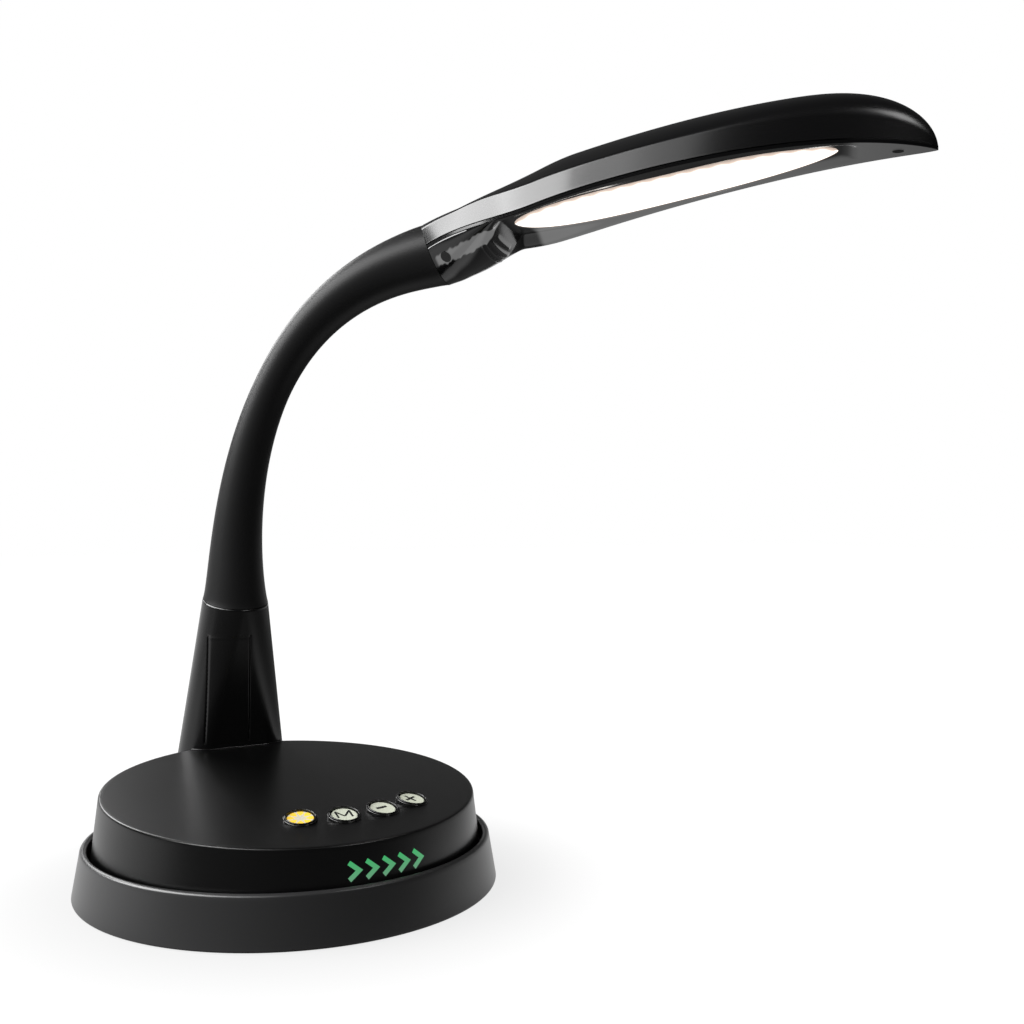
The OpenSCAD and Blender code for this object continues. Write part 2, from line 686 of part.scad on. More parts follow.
// Holes for the two screws that hold the stem, with room below for their heads
module stem_screw_room() {
    for (x = [-1, 1]) translate([x * stem_screw_x, stem_screw_y, stem_seat_z]) {
        cylinder(r = screw_r + fit, h = top_t + stem_boss_h);
        translate([0, 0, -3 * screw_head_h])
            cylinder(r = screw_head_r + fit, h = 3 * screw_head_h + fit / 2);
    }
}

module drum_floor() {
    color([0.08, 0.08, 0.08]) difference() {
        union() {
            translate([0, 0, drum_z]) cylinder(r = drum_r(floor_top_z) - drum_wall - fit, h = drum_floor_t);
            for (x = [-1, 1], y = [-1, 1]) translate([driver_x + x * (driver_len / 2 - driver_post_in),
                driver_y + y * (driver_w / 2 - driver_post_in), drum_z])
                cylinder(r = driver_post_r, h = drum_floor_t + driver_up);
            translate([0, 0, drum_z]) cylinder(r = spindle_r + 3.5, h = drum_floor_t);
        }
        translate([0, 0, drum_z - 1]) cylinder(r = spindle_r + pin_clear, h = drum_floor_t + 2);
        for (a = floor_boss_angles) from_front(a) translate([0, -floor_boss_r, drum_z]) {
            translate([0, 0, -1]) cylinder(r = screw_r + fit, h = drum_floor_t + 2);
            translate([0, 0, -1]) cylinder(r = screw_head_r + fit, h = screw_head_h + 1);
        }
    }
}

module floor_screws() {
    color([0.6, 0.6, 0.62]) for (a = floor_boss_angles) from_front(a) translate([0, -floor_boss_r, drum_z])
        difference() {
            screw(floor_screw_len);
            translate([-0.4, -2, -1]) cube([0.8, 4, 1.8]);
        }
}

module control_board() {
    color([0.05, 0.3, 0.12]) on_button_arc()
        translate([-control_board_len / 2, control_board_y, -board_drop - board_t])
            cube([control_board_len, control_board_w, board_t]);
}

module tact_switches() {
    color([0.2, 0.2, 0.21]) for (i = [0:3]) at_button(i) translate([0, 0, -board_drop]) {
        translate([-switch_w / 2, -switch_w / 2, 0]) cube([switch_w, switch_w, switch_h]);
        cylinder(r = plunger_r, h = switch_h + plunger_h);
    }
}

module button_bezels() {
    color([0.02, 0.02, 0.02]) for (i = [0:3]) difference() {
        union() {
            difference() {
                at_cap(i) translate([0, 0, -bezel_h])
                    cylinder(r = button_r + run_gap + bezel_w, h = 2 * bezel_h);
                drum_form(0, -fit / 2, drum_z);
            }
            at_cap(i) translate([0, 0, -top_t]) cylinder(r = bezel_hole_r, h = top_t + bezel_h);
        }
        at_cap(i) translate([0, 0, -top_t - 2]) cylinder(r = button_r + run_gap, h = top_t + bezel_h + 4);
    }
}

module button(i) {
    at_cap(i) {
        translate([0, 0, -button_skirt]) cylinder(r = button_r, h = button_skirt + button_rise);
        translate([0, 0, -button_stem_end]) cylinder(r = button_stem_r, h = button_stem_end);
    }
}

module power_button() {
    color([0.95, 0.75, 0.25]) button(0);
}

module mode_button() {
    color([0.75, 0.8, 0.72]) button(1);
}

module minus_button() {
    color([0.75, 0.8, 0.72]) button(2);
}

module plus_button() {
    color([0.75, 0.8, 0.72]) button(3);
}

module level_arrows() {
    color([0.25, 0.85, 0.45]) intersection() {
        union() {
            for (i = [0:arrow_count - 1]) arrow_prism(i, 0, arrow_depth + 1);
        }
        drum_form(arrow_proud, 0, drum_z);
    }
}

module indicator_board() {
    width = arrow_count * arrow_pitch * indicator_r * PI / 180 + 14;
    color([0.05, 0.3, 0.12]) from_front(arrow_turn) translate([-width / 2, -indicator_r, floor_top_z])
        cube([width, board_t, indicator_h]);
}

module indicator_leds() {
    color([0.9, 0.95, 0.85]) for (i = [0:arrow_count - 1]) from_front(arrow_turn)
        translate([(i - (arrow_count - 1) / 2) * arrow_pitch * indicator_r * PI / 180 - indicator_led_w / 2,
            -indicator_r - indicator_led_t, drum_z + arrow_up - indicator_led_w / 2])
            cube([indicator_led_w, indicator_led_t, indicator_led_w]);
}

module driver_board() {
    color([0.06, 0.28, 0.14]) translate([driver_x, driver_y, floor_top_z + driver_up]) {
        translate([-driver_len / 2, -driver_w / 2, 0]) cube([driver_len, driver_w, board_t]);
        translate([-driver_len / 2 + driver_post_in, -coil_w + chip_h, board_t])
            cube([coil_w, coil_w, coil_h]);
        for (y = [-1, 1]) translate([driver_len / 4, y * (capacitor_r + chip_h), board_t])
            cylinder(r = capacitor_r, h = capacitor_h);
        translate([-chip_len, driver_w / 2 - chip_w - driver_post_in, board_t])
            cube([chip_len, chip_w, chip_h]);
    }
}

module power_jack() {
    color([0.1, 0.1, 0.1]) {
        difference() {
            translate([-jack_body_w / 2, jack_body_y - jack_depth, jack_z - jack_body_w / 2])
                cube([jack_body_w, jack_depth, jack_body_w]);
            translate([0, jack_back_y + 1, jack_z]) rotate([90, 0, 0])
                cylinder(r = jack_r, h = jack_depth + 1);
        }
        difference() {
            translate([0, jack_back_y, jack_z]) rotate([90, 0, 0])
                cylinder(r = jack_r + jack_wall, h = jack_back_y - jack_body_y + 1);
            translate([0, jack_back_y + 1, jack_z]) rotate([90, 0, 0])
                cylinder(r = jack_r, h = jack_depth + 1);
        }
        translate([0, jack_back_y - 1, jack_z]) rotate([90, 0, 0]) cylinder(r = jack_pin_r, h = jack_depth);
    }
}

// The stem's outer form, shrunk all round, from the height bottom to a top face lowered by top_drop
module stem_form(shrink, top_drop, bottom) {
    loft([foot_ring(shrink, bottom), foot_ring(shrink, stem_base_z), top_ring(shrink, top_drop)]);
}

// Tapered opening for the front cover, widened by grow
module cover_prism(grow) {
    low = stem_foot_z + cover_foot_up - grow;
    high = stem_top_z - cover_top_down + grow;
    half = cover_w / 2 + grow;
    translate([cover_shift, stem_axis_y, 0]) rotate([90, 0, 0]) linear_extrude(far / 4)
        polygon([[-half, low], [half, low], [half - 1.5, high], [1.5 - half, high]]);
}

module stem_shell() {
    color([0.05, 0.05, 0.055]) difference() {
        union() {
            difference() {
                stem_form(0, 0, skirt_z);
                stem_form(stem_wall, stem_top_t, skirt_z + stem_wall);
            }
            intersection() {
                stem_form(stem_wall / 2, stem_top_t / 2, skirt_z + stem_wall / 2);
                for (x = [-1, 1]) translate([x * stem_screw_x, stem_screw_y, stem_base_z])
                    cylinder(r = boss_r - 0.6, h = top_t + 1 + stem_boss_h);
            }
        }
        cover_prism(fit);
        drum_form(fit / 2, -fit / 2, drum_z - 5);
        for (x = [-1, 1]) translate([x * stem_screw_x, stem_screw_y, stem_base_z])
            cylinder(r = pilot_r, h = top_t + stem_boss_h);
        for (x = [-1, 1]) translate([x * stem_screw_x, stem_screw_y, stem_seat_z - 3 * screw_head_h])
            cylinder(r = screw_head_r + fit, h = 3 * screw_head_h + fit / 2);
        translate([0, jack_back_y + 5, jack_z]) rotate([90, 0, 0])
            cylinder(r = jack_r + jack_wall + fit, h = stem_wall + 5.5);
        on_stem_top() translate([0, 0, -stem_top_t - 3]) cylinder(r = core_r + 1 + fit, h = stem_top_t + 5);
    }
}

module stem_cover() {
    color([0.04, 0.04, 0.045]) difference() {
        intersection() {
            stem_form(0, 0, skirt_z);
            cover_prism(0);
        }
        stem_form(cover_t, stem_top_t / 2, skirt_z + stem_wall);
    }
}

module stem_screws() {
    color([0.6, 0.6, 0.62]) for (x = [-1, 1])
        translate([x * stem_screw_x, stem_screw_y, stem_seat_z - screw_head_h]) difference() {
            screw(screw_head_h + top_t + stem_boss_h - 1);
            translate([-0.4, -2, -1]) cube([0.8, 4, 1.8]);
        }
}

// Neck hinges
module at_hinge(k) {
    p = hinge_point(k);
    in_arm() translate([p[0], 0, p[1]]) rotate([0, -neck_angle(hinge_t(k)), 0])
        rotate([k % 2 == 0 ? 90 : 0, 0, 0]) children();
}

module across_hinge(r, length) {
    rotate([90, 0, 0]) cylinder(r = r, h = length, center = true);
}

module fork(k) {
    at_hinge(k) {
        for (side = [-1, 1]) translate([0, side * (tongue_t / 2 + ear_gap + ear_t / 2), 0]) {
            across_hinge(knuckle_r, ear_t);
            translate([-knuckle_reach - 1, -ear_t / 2, -knuckle_r])
                cube([knuckle_reach + 1, ear_t, 2 * knuckle_r]);
        }
        across_hinge(hinge_pin_r, tongue_t + 2 * ear_gap + 2 * ear_t);
        translate([-knuckle_reach - 2, 0, 0]) rotate([0, 90, 0]) cylinder(r = core_r + 0.6, h = 2);
    }
}

module eye(k) {
    at_hinge(k) difference() {
        union() {
            across_hinge(knuckle_r, tongue_t);
            translate([0, -tongue_t / 2, -knuckle_r]) cube([knuckle_reach + 1, tongue_t, 2 * knuckle_r]);
            translate([knuckle_reach, 0, 0]) rotate([0, 90, 0]) cylinder(r = core_r + 0.6, h = 2);
        }
        across_hinge(hinge_pin_r + pin_clear, tongue_t + 2);
    }
}

module rod(from, to, start, end) {
    run = to - from;
    in_arm() translate([from[0], 0, from[1]]) rotate([0, 90 - atan2(run[1], run[0]), 0])
        translate([0, 0, start]) cylinder(r = core_r, h = norm(run) - start - end);
}

module neck_link(k) {
    color([0.55, 0.56, 0.58]) {
        eye(k);
        rod(hinge_point(k), hinge_point(k + 1), knuckle_reach + 1, knuckle_reach + 1);
        fork(k + 1);
    }
}

module neck_ferrule() {
    color([0.62, 0.62, 0.64]) {
        on_stem_top() {
            translate([0, 0, fit]) cylinder(r = core_r + ferrule_lip, h = ferrule_flange_t);
            translate([0, 0, -stem_top_t - ferrule_tail])
                cylinder(r = core_r + 1, h = stem_top_t + ferrule_tail + ferrule_flange_t / 2);
        }
        rod(neck_a, hinge_point(1), 0.5, knuckle_reach + 1);
        fork(1);
    }
}

module neck_nut() {
    color([0.62, 0.62, 0.64]) on_stem_top() translate([0, 0, -stem_top_t - 4.2]) difference() {
        cylinder(r = core_r + 4.4, h = 4, $fn = 6);
        translate([0, 0, -1]) cylinder(r = core_r + 1 + fit / 2, h = 6);
    }
}

module sleeve(k) {
    from = k == 1 ? 0 : hinge_t(k - 1);
    to = k == hinge_count + 1 ? 1 : hinge_t(k);
    steps = [for (i = [0:sleeve_rings]) from + (to - from) * i / sleeve_rings];
    lifts = [for (i = [0:sleeve_rings])
        k == 1 && i == 0 ? seam_gap : k == hinge_count + 1 && i == sleeve_rings ? -seam_gap : 0];
    color([0.1, 0.1, 0.1]) in_arm() tube_loft(
        [for (i = [0:sleeve_rings]) ring(steps[i], sleeve_r(steps[i]), lifts[i])],
        [for (i = [0:sleeve_rings]) ring(steps[i], sleeve_r(steps[i]) - sleeve_wall, lifts[i])]);
}

module head_ferrule() {
    tail = head_screw_s[0] - head_s - screw_r - 1.2;
    color([0.62, 0.62, 0.64]) {
        eye(hinge_count);
        rod(hinge_point(hinge_count), neck_d + tail * [cos(neck_end_rise), sin(neck_end_rise)],
            knuckle_reach + 1, 0);
        in_arm() translate([neck_reach, 0, root_z]) rotate([0, 90 - seam_tilt, 0]) translate([0, 0, 1])
            cylinder(r = root_r - panel_rim - 3 * fit, h = 2);
    }
}

// Head
module head_shell() {
    stops = stations(head_s, head_tip_s - shell_end_gap);
    color([0.04, 0.04, 0.045]) in_arm() difference() {
        union() {
            strip_loft([for (s = stops) shell_ring(s)]);
            for (s = head_screw_s) translate([s, 0, lip_z(s) + head_boss_h + fit])
                cylinder(r = shell_boss_r, h = min(crown_h(s - shell_boss_r), crown_h(s + shell_boss_r))
                    - head_t / 3 - head_boss_h - fit);
        }
        for (s = head_screw_s) translate([s, 0, lip_z(s)]) cylinder(r = pilot_r, h = head_boss_h + 6);
    }
}

module head_panel() {
    stops = stations(head_s, head_tip_s - shell_end_gap);
    color([0.02, 0.02, 0.022]) in_arm() difference() {
        union() {
            strip_loft([for (s = stops) panel_ring(s)]);
            translate([head_screw_s[0], 0, root_boss_z]) cylinder(r = boss_r, h = root_boss_h);
            translate([head_screw_s[1], 0, lip_z(head_screw_s[1]) + panel_t * 0.7])
                cylinder(r = boss_r, h = head_boss_h - panel_t * 0.7);
        }
        translate([0, 0, lip_z(light_s) - far / 4]) linear_extrude(far / 2) polygon(window_edge);
        for (s = head_screw_s) translate([s, 0, lip_z(s) + panel_low(s, 0)]) {
            translate([0, 0, -3]) cylinder(r = screw_head_r + fit, h = 3 + head_screw_sink + screw_head_h);
            cylinder(r = screw_r + fit, h = 20);
        }
    }
}

module light_diffuser() {
    color([1, 0.97, 0.9]) in_arm() strip_loft([for (i = [0:leaf_steps]) light_ring(leaf_station(i))]);
}

module on_led_board() {
    in_arm() translate([board_s0, 0, board_z0]) rotate([0, -led_board_tilt, 0]) children();
}

module led_board() {
    color([0.92, 0.92, 0.9]) on_led_board() translate([0, -led_board_w / 2, 0])
        cube([led_board_len, led_board_w, board_t]);
}

module leds() {
    color([1, 0.95, 0.75]) on_led_board() for (i = [0:led_count - 1], y = [-1, 1])
        translate([(i + 0.5) * led_board_len / led_count, y * led_row_gap / 2, -led_t / 2])
            cube([led_w, led_w, led_t], center = true);
}

module heat_sink() {
    color([0.75, 0.76, 0.78]) on_led_board() {
        translate([0, -led_board_w / 2, board_t]) cube([led_board_len, led_board_w, sink_t]);
        for (y = [-1, 0, 1]) translate([0, y * led_board_w / 3 - sink_fin_t / 2, board_t])
            cube([led_board_len, sink_fin_t, sink_t + sink_fin_h]);
        for (f = sink_posts) {
            s = board_s0 + f * (board_s1 - board_s0);
            room = min([for (e = [-1, 0, 1] * sink_post_r)
                lip_z(s + e) + crown_h(s + e + head_t) - head_t - board_line_z(s + e)]);
            up = room * cos(led_board_tilt) - 4 * fit;
            translate([f * led_board_len, 0, board_t]) cylinder(r = sink_post_r, h = up - board_t);
        }
    }
}

module head_screws() {
    color([0.3, 0.3, 0.31]) in_arm() for (s = head_screw_s)
        translate([s, 0, lip_z(s) + panel_low(s, 0) + head_screw_sink]) difference() {
            screw(head_boss_h + 5 - panel_low(s, 0) - head_screw_sink);
            translate([-0.4, -2, -1]) cube([0.8, 4, 1.8]);
            translate([-2, -0.4, -1]) cube([4, 0.8, 1.8]);
        }
}

base_ring();
foot_pad();
steel_weight();
pivot_spindle();
spindle_screws();
glide_ring();
spindle_washer();
spindle_nut();
drum_shell();
drum_floor();
floor_screws();
control_board();
tact_switches();
button_bezels();
power_button();
mode_button();
minus_button();
plus_button();
level_arrows();
indicator_board();
indicator_leds();
driver_board();
power_jack();
stem_shell();
stem_cover();
stem_screws();
neck_ferrule();
neck_nut();
sleeve(1);  // sleeve_1
sleeve(2);  // sleeve_2
sleeve(3);  // sleeve_3
sleeve(4);  // sleeve_4
sleeve(5);  // sleeve_5
sleeve(6);  // sleeve_6
sleeve(7);  // sleeve_7
sleeve(8);  // sleeve_8
neck_link(1);  // neck_link_1
neck_link(2);  // neck_link_2
neck_link(3);  // neck_link_3
neck_link(4);  // neck_link_4
neck_link(5);  // neck_link_5
neck_link(6);  // neck_link_6
head_ferrule();
head_shell();
head_panel();
light_diffuser();
led_board();
leds();
heat_sink();
head_screws();
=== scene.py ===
import json
import math

import bpy
import numpy as np
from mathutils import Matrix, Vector


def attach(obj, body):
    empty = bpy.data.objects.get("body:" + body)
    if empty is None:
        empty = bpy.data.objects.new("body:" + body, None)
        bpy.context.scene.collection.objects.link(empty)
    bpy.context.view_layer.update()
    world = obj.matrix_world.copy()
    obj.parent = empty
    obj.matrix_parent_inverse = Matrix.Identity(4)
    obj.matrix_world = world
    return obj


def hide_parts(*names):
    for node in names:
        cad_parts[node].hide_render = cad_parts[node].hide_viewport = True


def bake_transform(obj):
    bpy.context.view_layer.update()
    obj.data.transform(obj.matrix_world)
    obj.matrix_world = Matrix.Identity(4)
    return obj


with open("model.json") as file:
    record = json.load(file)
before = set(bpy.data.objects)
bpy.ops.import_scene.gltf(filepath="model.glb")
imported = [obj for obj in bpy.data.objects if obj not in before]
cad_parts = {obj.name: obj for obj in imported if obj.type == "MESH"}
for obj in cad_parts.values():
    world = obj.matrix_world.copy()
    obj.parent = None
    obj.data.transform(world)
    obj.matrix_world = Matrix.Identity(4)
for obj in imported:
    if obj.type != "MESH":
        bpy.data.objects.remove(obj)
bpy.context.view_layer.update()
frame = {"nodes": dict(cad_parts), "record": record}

nodes = frame["nodes"]
scene = bpy.context.scene
MM = 0.001
VIEW_TURN = math.radians(20)

# Camera, matched to the photograph
cam = bpy.data.objects.new("camera", bpy.data.cameras.new("camera"))
scene.collection.objects.link(cam)
cam.data.sensor_width = 36
cam.data.lens = 41.745
cam.data.clip_start = 0.01
cam.data.clip_end = 30
cam.location = (-0.17681, -0.48578, 0.15686)
cam.rotation_euler = (math.radians(90), 0, math.radians(-30.577))
scene.camera = cam
scene.view_settings.view_transform = "Standard"


def from_view(x, y, z):
    """A point to the right of the base, away from the camera and up, in metres, in the part's frame."""
    c, s = math.cos(VIEW_TURN), math.sin(VIEW_TURN)
    return Vector((x * c + y * s, -x * s + y * c, z))


# Shader helpers
def feed(tree, source, socket):
    """Sets a socket to a number, or links it to another node's output."""
    if isinstance(source, (int, float)):
        socket.default_value = source
    else:
        tree.links.new(source, socket)


def map_range(tree, value, to=(0, 1), span=(0, 1), soft=False):
    """Maps a value from one span to another. An end of the new span may be a node's output."""
    node = tree.nodes.new("ShaderNodeMapRange")
    if soft:
        node.interpolation_type = "SMOOTHSTEP"
    ends = {"Value": value, "From Min": span[0], "From Max": span[1], "To Min": to[0], "To Max": to[1]}
    for name, source in ends.items():
        feed(tree, source, node.inputs[name])
    return node.outputs["Result"]


def math_node(tree, operation, *values):
    node = tree.nodes.new("ShaderNodeMath")
    node.operation = operation
    for socket, value in zip(node.inputs, values):
        feed(tree, value, socket)
    return node.outputs[0]


def vector_math(tree, operation, vector, other=(0, 0, 0)):
    """A number from a vector, such as its length or how far it goes along another one."""
    node = tree.nodes.new("ShaderNodeVectorMath")
    node.operation = operation
    node.inputs[1].default_value = other
    tree.links.new(vector, node.inputs[0])
    return node.outputs["Value"]


def mixed(tree, factor, color_a, color_b):
    node = tree.nodes.new("ShaderNodeMix")
    node.data_type = "RGBA"
    node.inputs["A"].default_value = (*color_a, 1)
    node.inputs["B"].default_value = (*color_b, 1)
    tree.links.new(factor, node.inputs["Factor"])
    return node.outputs["Result"]


# Materials
GRAIN_DEPTH, GRAIN_DETAIL, GLOSS_SCALE = 0.0002, 3, 25


def principled(name, color, rough, **more):
    mat = bpy.data.materials.new(name)
    mat.use_nodes = True
    node = mat.node_tree.nodes["Principled BSDF"]
    node.inputs["Base Color"].default_value = (*color, 1)
    node.inputs["Roughness"].default_value = rough
    for key, value in more.items():
        node.inputs[key.replace("_", " ")].default_value = value
    return mat


def grained(name, color, rough, scale, strength, rough_swing=0.0, **more):
    """A material with fine moulded grain, and with a slow change of gloss over the surface."""
    mat = principled(name, color, rough, **more)
    tree = mat.node_tree
    node = tree.nodes["Principled BSDF"]
    place = tree.nodes.new("ShaderNodeTexCoord").outputs["Object"]
    noise = tree.nodes.new("ShaderNodeTexNoise")
    noise.inputs["Scale"].default_value = scale
    noise.inputs["Detail"].default_value = GRAIN_DETAIL
    bump = tree.nodes.new("ShaderNodeBump")
    bump.inputs["Strength"].default_value = strength
    bump.inputs["Distance"].default_value = GRAIN_DEPTH
    tree.links.new(place, noise.inputs["Vector"])
    tree.links.new(noise.outputs["Fac"], bump.inputs["Height"])
    tree.links.new(bump.outputs["Normal"], node.inputs["Normal"])
    if rough_swing:
        slow = tree.nodes.new("ShaderNodeTexNoise")
        slow.inputs["Scale"].default_value = GLOSS_SCALE
        tree.links.new(place, slow.inputs["Vector"])
        swing = (rough - rough_swing, rough + rough_swing)
        tree.links.new(map_range(tree, slow.outputs["Fac"], swing), node.inputs["Roughness"])
    return mat


def steer(mat, attribute, socket, to):
    """Lets a mesh attribute that runs from 0 to 1 set a socket of the material."""
    tree = mat.node_tree
    attr = tree.nodes.new("ShaderNodeAttribute")
    attr.attribute_name = attribute
    node = tree.nodes["Principled BSDF"]
    tree.links.new(map_range(tree, attr.outputs["Fac"], to), node.inputs[socket])


def grey(level):
    return (level, level, level)


ring_black = grained("ring black", (0.024, 0.024, 0.0245), 0.31, 900, 0.05, rough_swing=0.02)
drum_black = grained("drum black", (0.002, 0.002, 0.0021), 0.30, 1400, 0.12, rough_swing=0.015)
stem_black = grained("stem black", (0.0026, 0.0026, 0.0027), 0.24, 900, 0.04, rough_swing=0.03)
rubber = grained("neck rubber", (0.009, 0.009, 0.0092), 0.40, 1200, 0.10, Specular_IOR_Level=0.12)
head_black = grained("head black", (0.0034, 0.0034, 0.0036), 0.2, 500, 0.01)
steer(head_black, "gloss", "Roughness", (0.24, 0.2))
panel_black = grained("panel black", (0.003, 0.003, 0.0032), 0.14, 300, 0.004, Emission_Color=(1, 1, 1, 1))
# Painted sheen: the panel's emission, set per point, paints grey reflections and light onto the underside
steer(panel_black, "painted_sheen", "Emission Strength", (0, 0.15))
bezel_black = grained("bezel black", grey(0.006), 0.10, 600, 0.01)
# Painted shade: a dark matte material for the discs that stand in for the screw holes
hole_shade_black = grained("groove black", grey(0.002), 0.7, 600, 0.01)
inner_black = grained("inner black", grey(0.012), 0.5, 600, 0.03)
mark_black = grained("mark black", grey(0.006), 0.5, 600, 0.01)
pad_rubber = grained("pad rubber", grey(0.03), 0.85, 700, 0.3)
steel = grained("plated steel", (0.55, 0.56, 0.58), 0.3, 500, 0.03, Metallic=1.0)
dark_steel = grained("dark steel", (0.05, 0.05, 0.055), 0.35, 500, 0.03, Metallic=1.0)
nylon = grained("nylon", (0.8, 0.8, 0.77), 0.5, 500, 0.03)
board_green = grained("board green", (0.02, 0.16, 0.05), 0.4, 500, 0.03)
board_white = grained("board white", (0.8, 0.8, 0.78), 0.5, 500, 0.03)
aluminium = grained("aluminium", (0.7, 0.71, 0.72), 0.35, 500, 0.03, Metallic=1.0)
led_cream = grained("led cream", (0.95, 0.85, 0.5), 0.4, 500, 0.02,
                    Emission_Color=(1, 0.85, 0.55, 1), Emission_Strength=0.6)
cap_pale = grained("cap pale", (0.457, 0.479, 0.393), 0.4, 600, 0.02)

for slot, mat in {"base_black": ring_black, "drum_black": drum_black, "inner_black": inner_black,
                  "stem_black": stem_black, "bezel_black": bezel_black, "head_black": head_black,
                  "panel_black": panel_black, "pad_rubber": pad_rubber, "neck_rubber": rubber,
                  "weight_steel": steel, "zinc_steel": steel, "dark_steel": dark_steel, "nylon": nylon,
                  "board_green": board_green, "board_white": board_white, "button_yellow": cap_pale,
                  "button_pale": cap_pale, "arrow_green": cap_pale, "led_cream": led_cream,
                  "light_white": board_white, "sink_aluminium": aluminium}.items():
    for part in frame["record"]["subparts"]:
        if part["material_slot"] == slot:
            nodes[part["node"]].data.materials.clear()
            nodes[part["node"]].data.materials.append(mat)


# Mesh helpers: points are in millimetres
def add_mesh(name, points, faces, mat, sharp=40):
    name = name.replace(" ", "_")
    mesh = bpy.data.meshes.new(name)
    mesh.from_pydata([tuple(float(c) * MM for c in p) for p in points], [], [tuple(f) for f in faces])
    mesh.validate()
    mesh.update()
    mesh.shade_smooth()
    mesh.set_sharp_from_angle(angle=math.radians(sharp))
    mesh.materials.append(mat)
    obj = bpy.data.objects.new(name, mesh)
    scene.collection.objects.link(obj)
    return obj


def add_values(obj, name, values):
    """Stores one number for each point of a mesh, for its material."""
    data = obj.data.attributes.new(name, "FLOAT", "POINT")
    data.data.foreach_set("value", np.array(values, np.float32))


def grid_faces(rows, cols, wrap, start=0):
    out = []
    for j in range(rows - 1):
        for i in range(cols if wrap else cols - 1):
            a, b = start + j * cols + i, start + j * cols + (i + 1) % cols
            out.append((a, b, b + cols, a + cols))
    return out


def circle(count):
    return [(math.cos(2 * math.pi * i / count), math.sin(2 * math.pi * i / count)) for i in range(count)]


def lathe(name, profile, mat, count, place=None, closed=False):
    """Turns [radius, height] points about Z. place moves each point, and closed fills the last ring."""
    points = [(r * c, r * s, z) for r, z in profile for c, s in circle(count)]
    if place:
        points = [place(p) for p in points]
    faces = grid_faces(len(profile), count, True)
    if closed:
        faces.append(tuple(range(len(points) - count, len(points))))
    return add_mesh(name, points, faces, mat)


def smooth(x):
    x = np.clip(x, 0, 1)
    return x * x * (3 - 2 * x)


def arc(cx, cz, r, a0, a1, count):
    angles = [math.radians(a0 + (a1 - a0) * i / count) for i in range(count + 1)]
    return [(cx + r * math.cos(a), cz + r * math.sin(a)) for a in angles]


# Sizes shared with the solids
DISH_Z, RIM_Z, DRUM_Z, TOP_Z = 12.2, 20.2, 13.3, 39.7
DRUM_R, DRAFT, SLOPE = 77.9, math.tan(math.radians(6.7)), math.radians(3.9)
RUN_GAP, RIM_T, FLARE = 1.8, 3.0, 3.0
RIM_IN = DRUM_R + (TOP_Z - RIM_Z) * DRAFT + RUN_GAP
RING_R = RIM_IN + RIM_T + FLARE
AXIS_Y = 76.0
STEM_FOOT_Y, STEM_H = 70, 69.8
STEM_FOOT_Z = TOP_Z + STEM_FOOT_Y * math.tan(SLOPE)
STEM_TOP_Z = STEM_FOOT_Z + STEM_H
ARM = math.radians(-45)
NECK_REACH, NECK_RISE = 102.6, 161.3
ROOT_R = 14.75
SEAM = math.radians(20)


def in_arm(s, v, z):
    """A point given along the arm, across it and up."""
    return (s * math.cos(ARM) - v * math.sin(ARM), AXIS_Y + s * math.sin(ARM) + v * math.cos(ARM), z)


def on_top(x, y, h):
    """A point given on the drum's sloping top, and its height above it."""
    return (x, y * math.cos(SLOPE) - h * math.sin(SLOPE), TOP_Z + y * math.sin(SLOPE) + h * math.cos(SLOPE))


# Base ring: flared wall, rounded rim and a dark gap behind it
RING_SIDES = 220
DISH_IN_R, DISH_EDGE, DISH_FILLET = 55, 3, 1.6
RIM_LOW_Z, WALL_LOW_Z = 17.0, 1.3
FOOT_ROUND, FOOT_ROUND_Z, FOOT_Z = 0.85, 1.25, 0.4
FOOT_OUT_R, FOOT_IN_R = 84, 81.4
HOLLOW_R, HOLLOW_LOW_Z, HOLLOW_TOP_Z = 81.25, 0.7, 9.0
rim_mid = (RIM_IN + RIM_T / 2, RIM_Z - RIM_T / 2)
wall_top = (RIM_IN + RIM_T, RIM_Z - RIM_T / 2)
wall_low = (RING_R, WALL_LOW_Z)
ring_profile = [(DISH_IN_R, DISH_Z), (RIM_IN - DISH_EDGE, DISH_Z)]
ring_profile += arc(RIM_IN - DISH_FILLET, DISH_Z + DISH_FILLET, DISH_FILLET, -90, 0, 5)
ring_profile += [(RIM_IN, RIM_LOW_Z)] + arc(*rim_mid, RIM_T / 2, 180, 14, 14)
for f in (0.06, 0.3, 0.6, 0.92, 0.97):
    ring_profile.append(tuple(a + (b - a) * f for a, b in zip(wall_top, wall_low)))
ring_profile += arc(RING_R - FOOT_ROUND, FOOT_ROUND_Z, FOOT_ROUND, 8, -90, 8)
ring_profile += [(FOOT_OUT_R, FOOT_Z), (FOOT_IN_R, FOOT_Z)]
ring_profile += [(HOLLOW_R, HOLLOW_LOW_Z), (HOLLOW_R, HOLLOW_TOP_Z)]
ring = lathe("ring skin", ring_profile, ring_black, RING_SIDES)
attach(ring, "base")
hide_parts("base_ring")

# Drum: leaning wall and a top that rises to the back
DRUM_SIDES, DRUM_ROUND, DRUM_ROUND_ROWS = 240, 0.9, 8
DRUM_LIP, DRUM_LIP_ROUND = 2.0, 0.5
WALL_STOP, TOP_START = 2, 2.2
WALL_SHARES, TOP_SHARES = (0.1, 0.4, 0.7, 1.0), (0.08, 0.25, 0.5, 0.75, 0.97)


def drum_edge(a):
    """The sharp edge between the drum's wall and its top, in one direction."""
    c, s = math.cos(a), math.sin(a)
    k = math.tan(SLOPE) * s
    r = DRUM_R / (1 + k * DRAFT)
    return r * c, r * s, TOP_Z + k * r


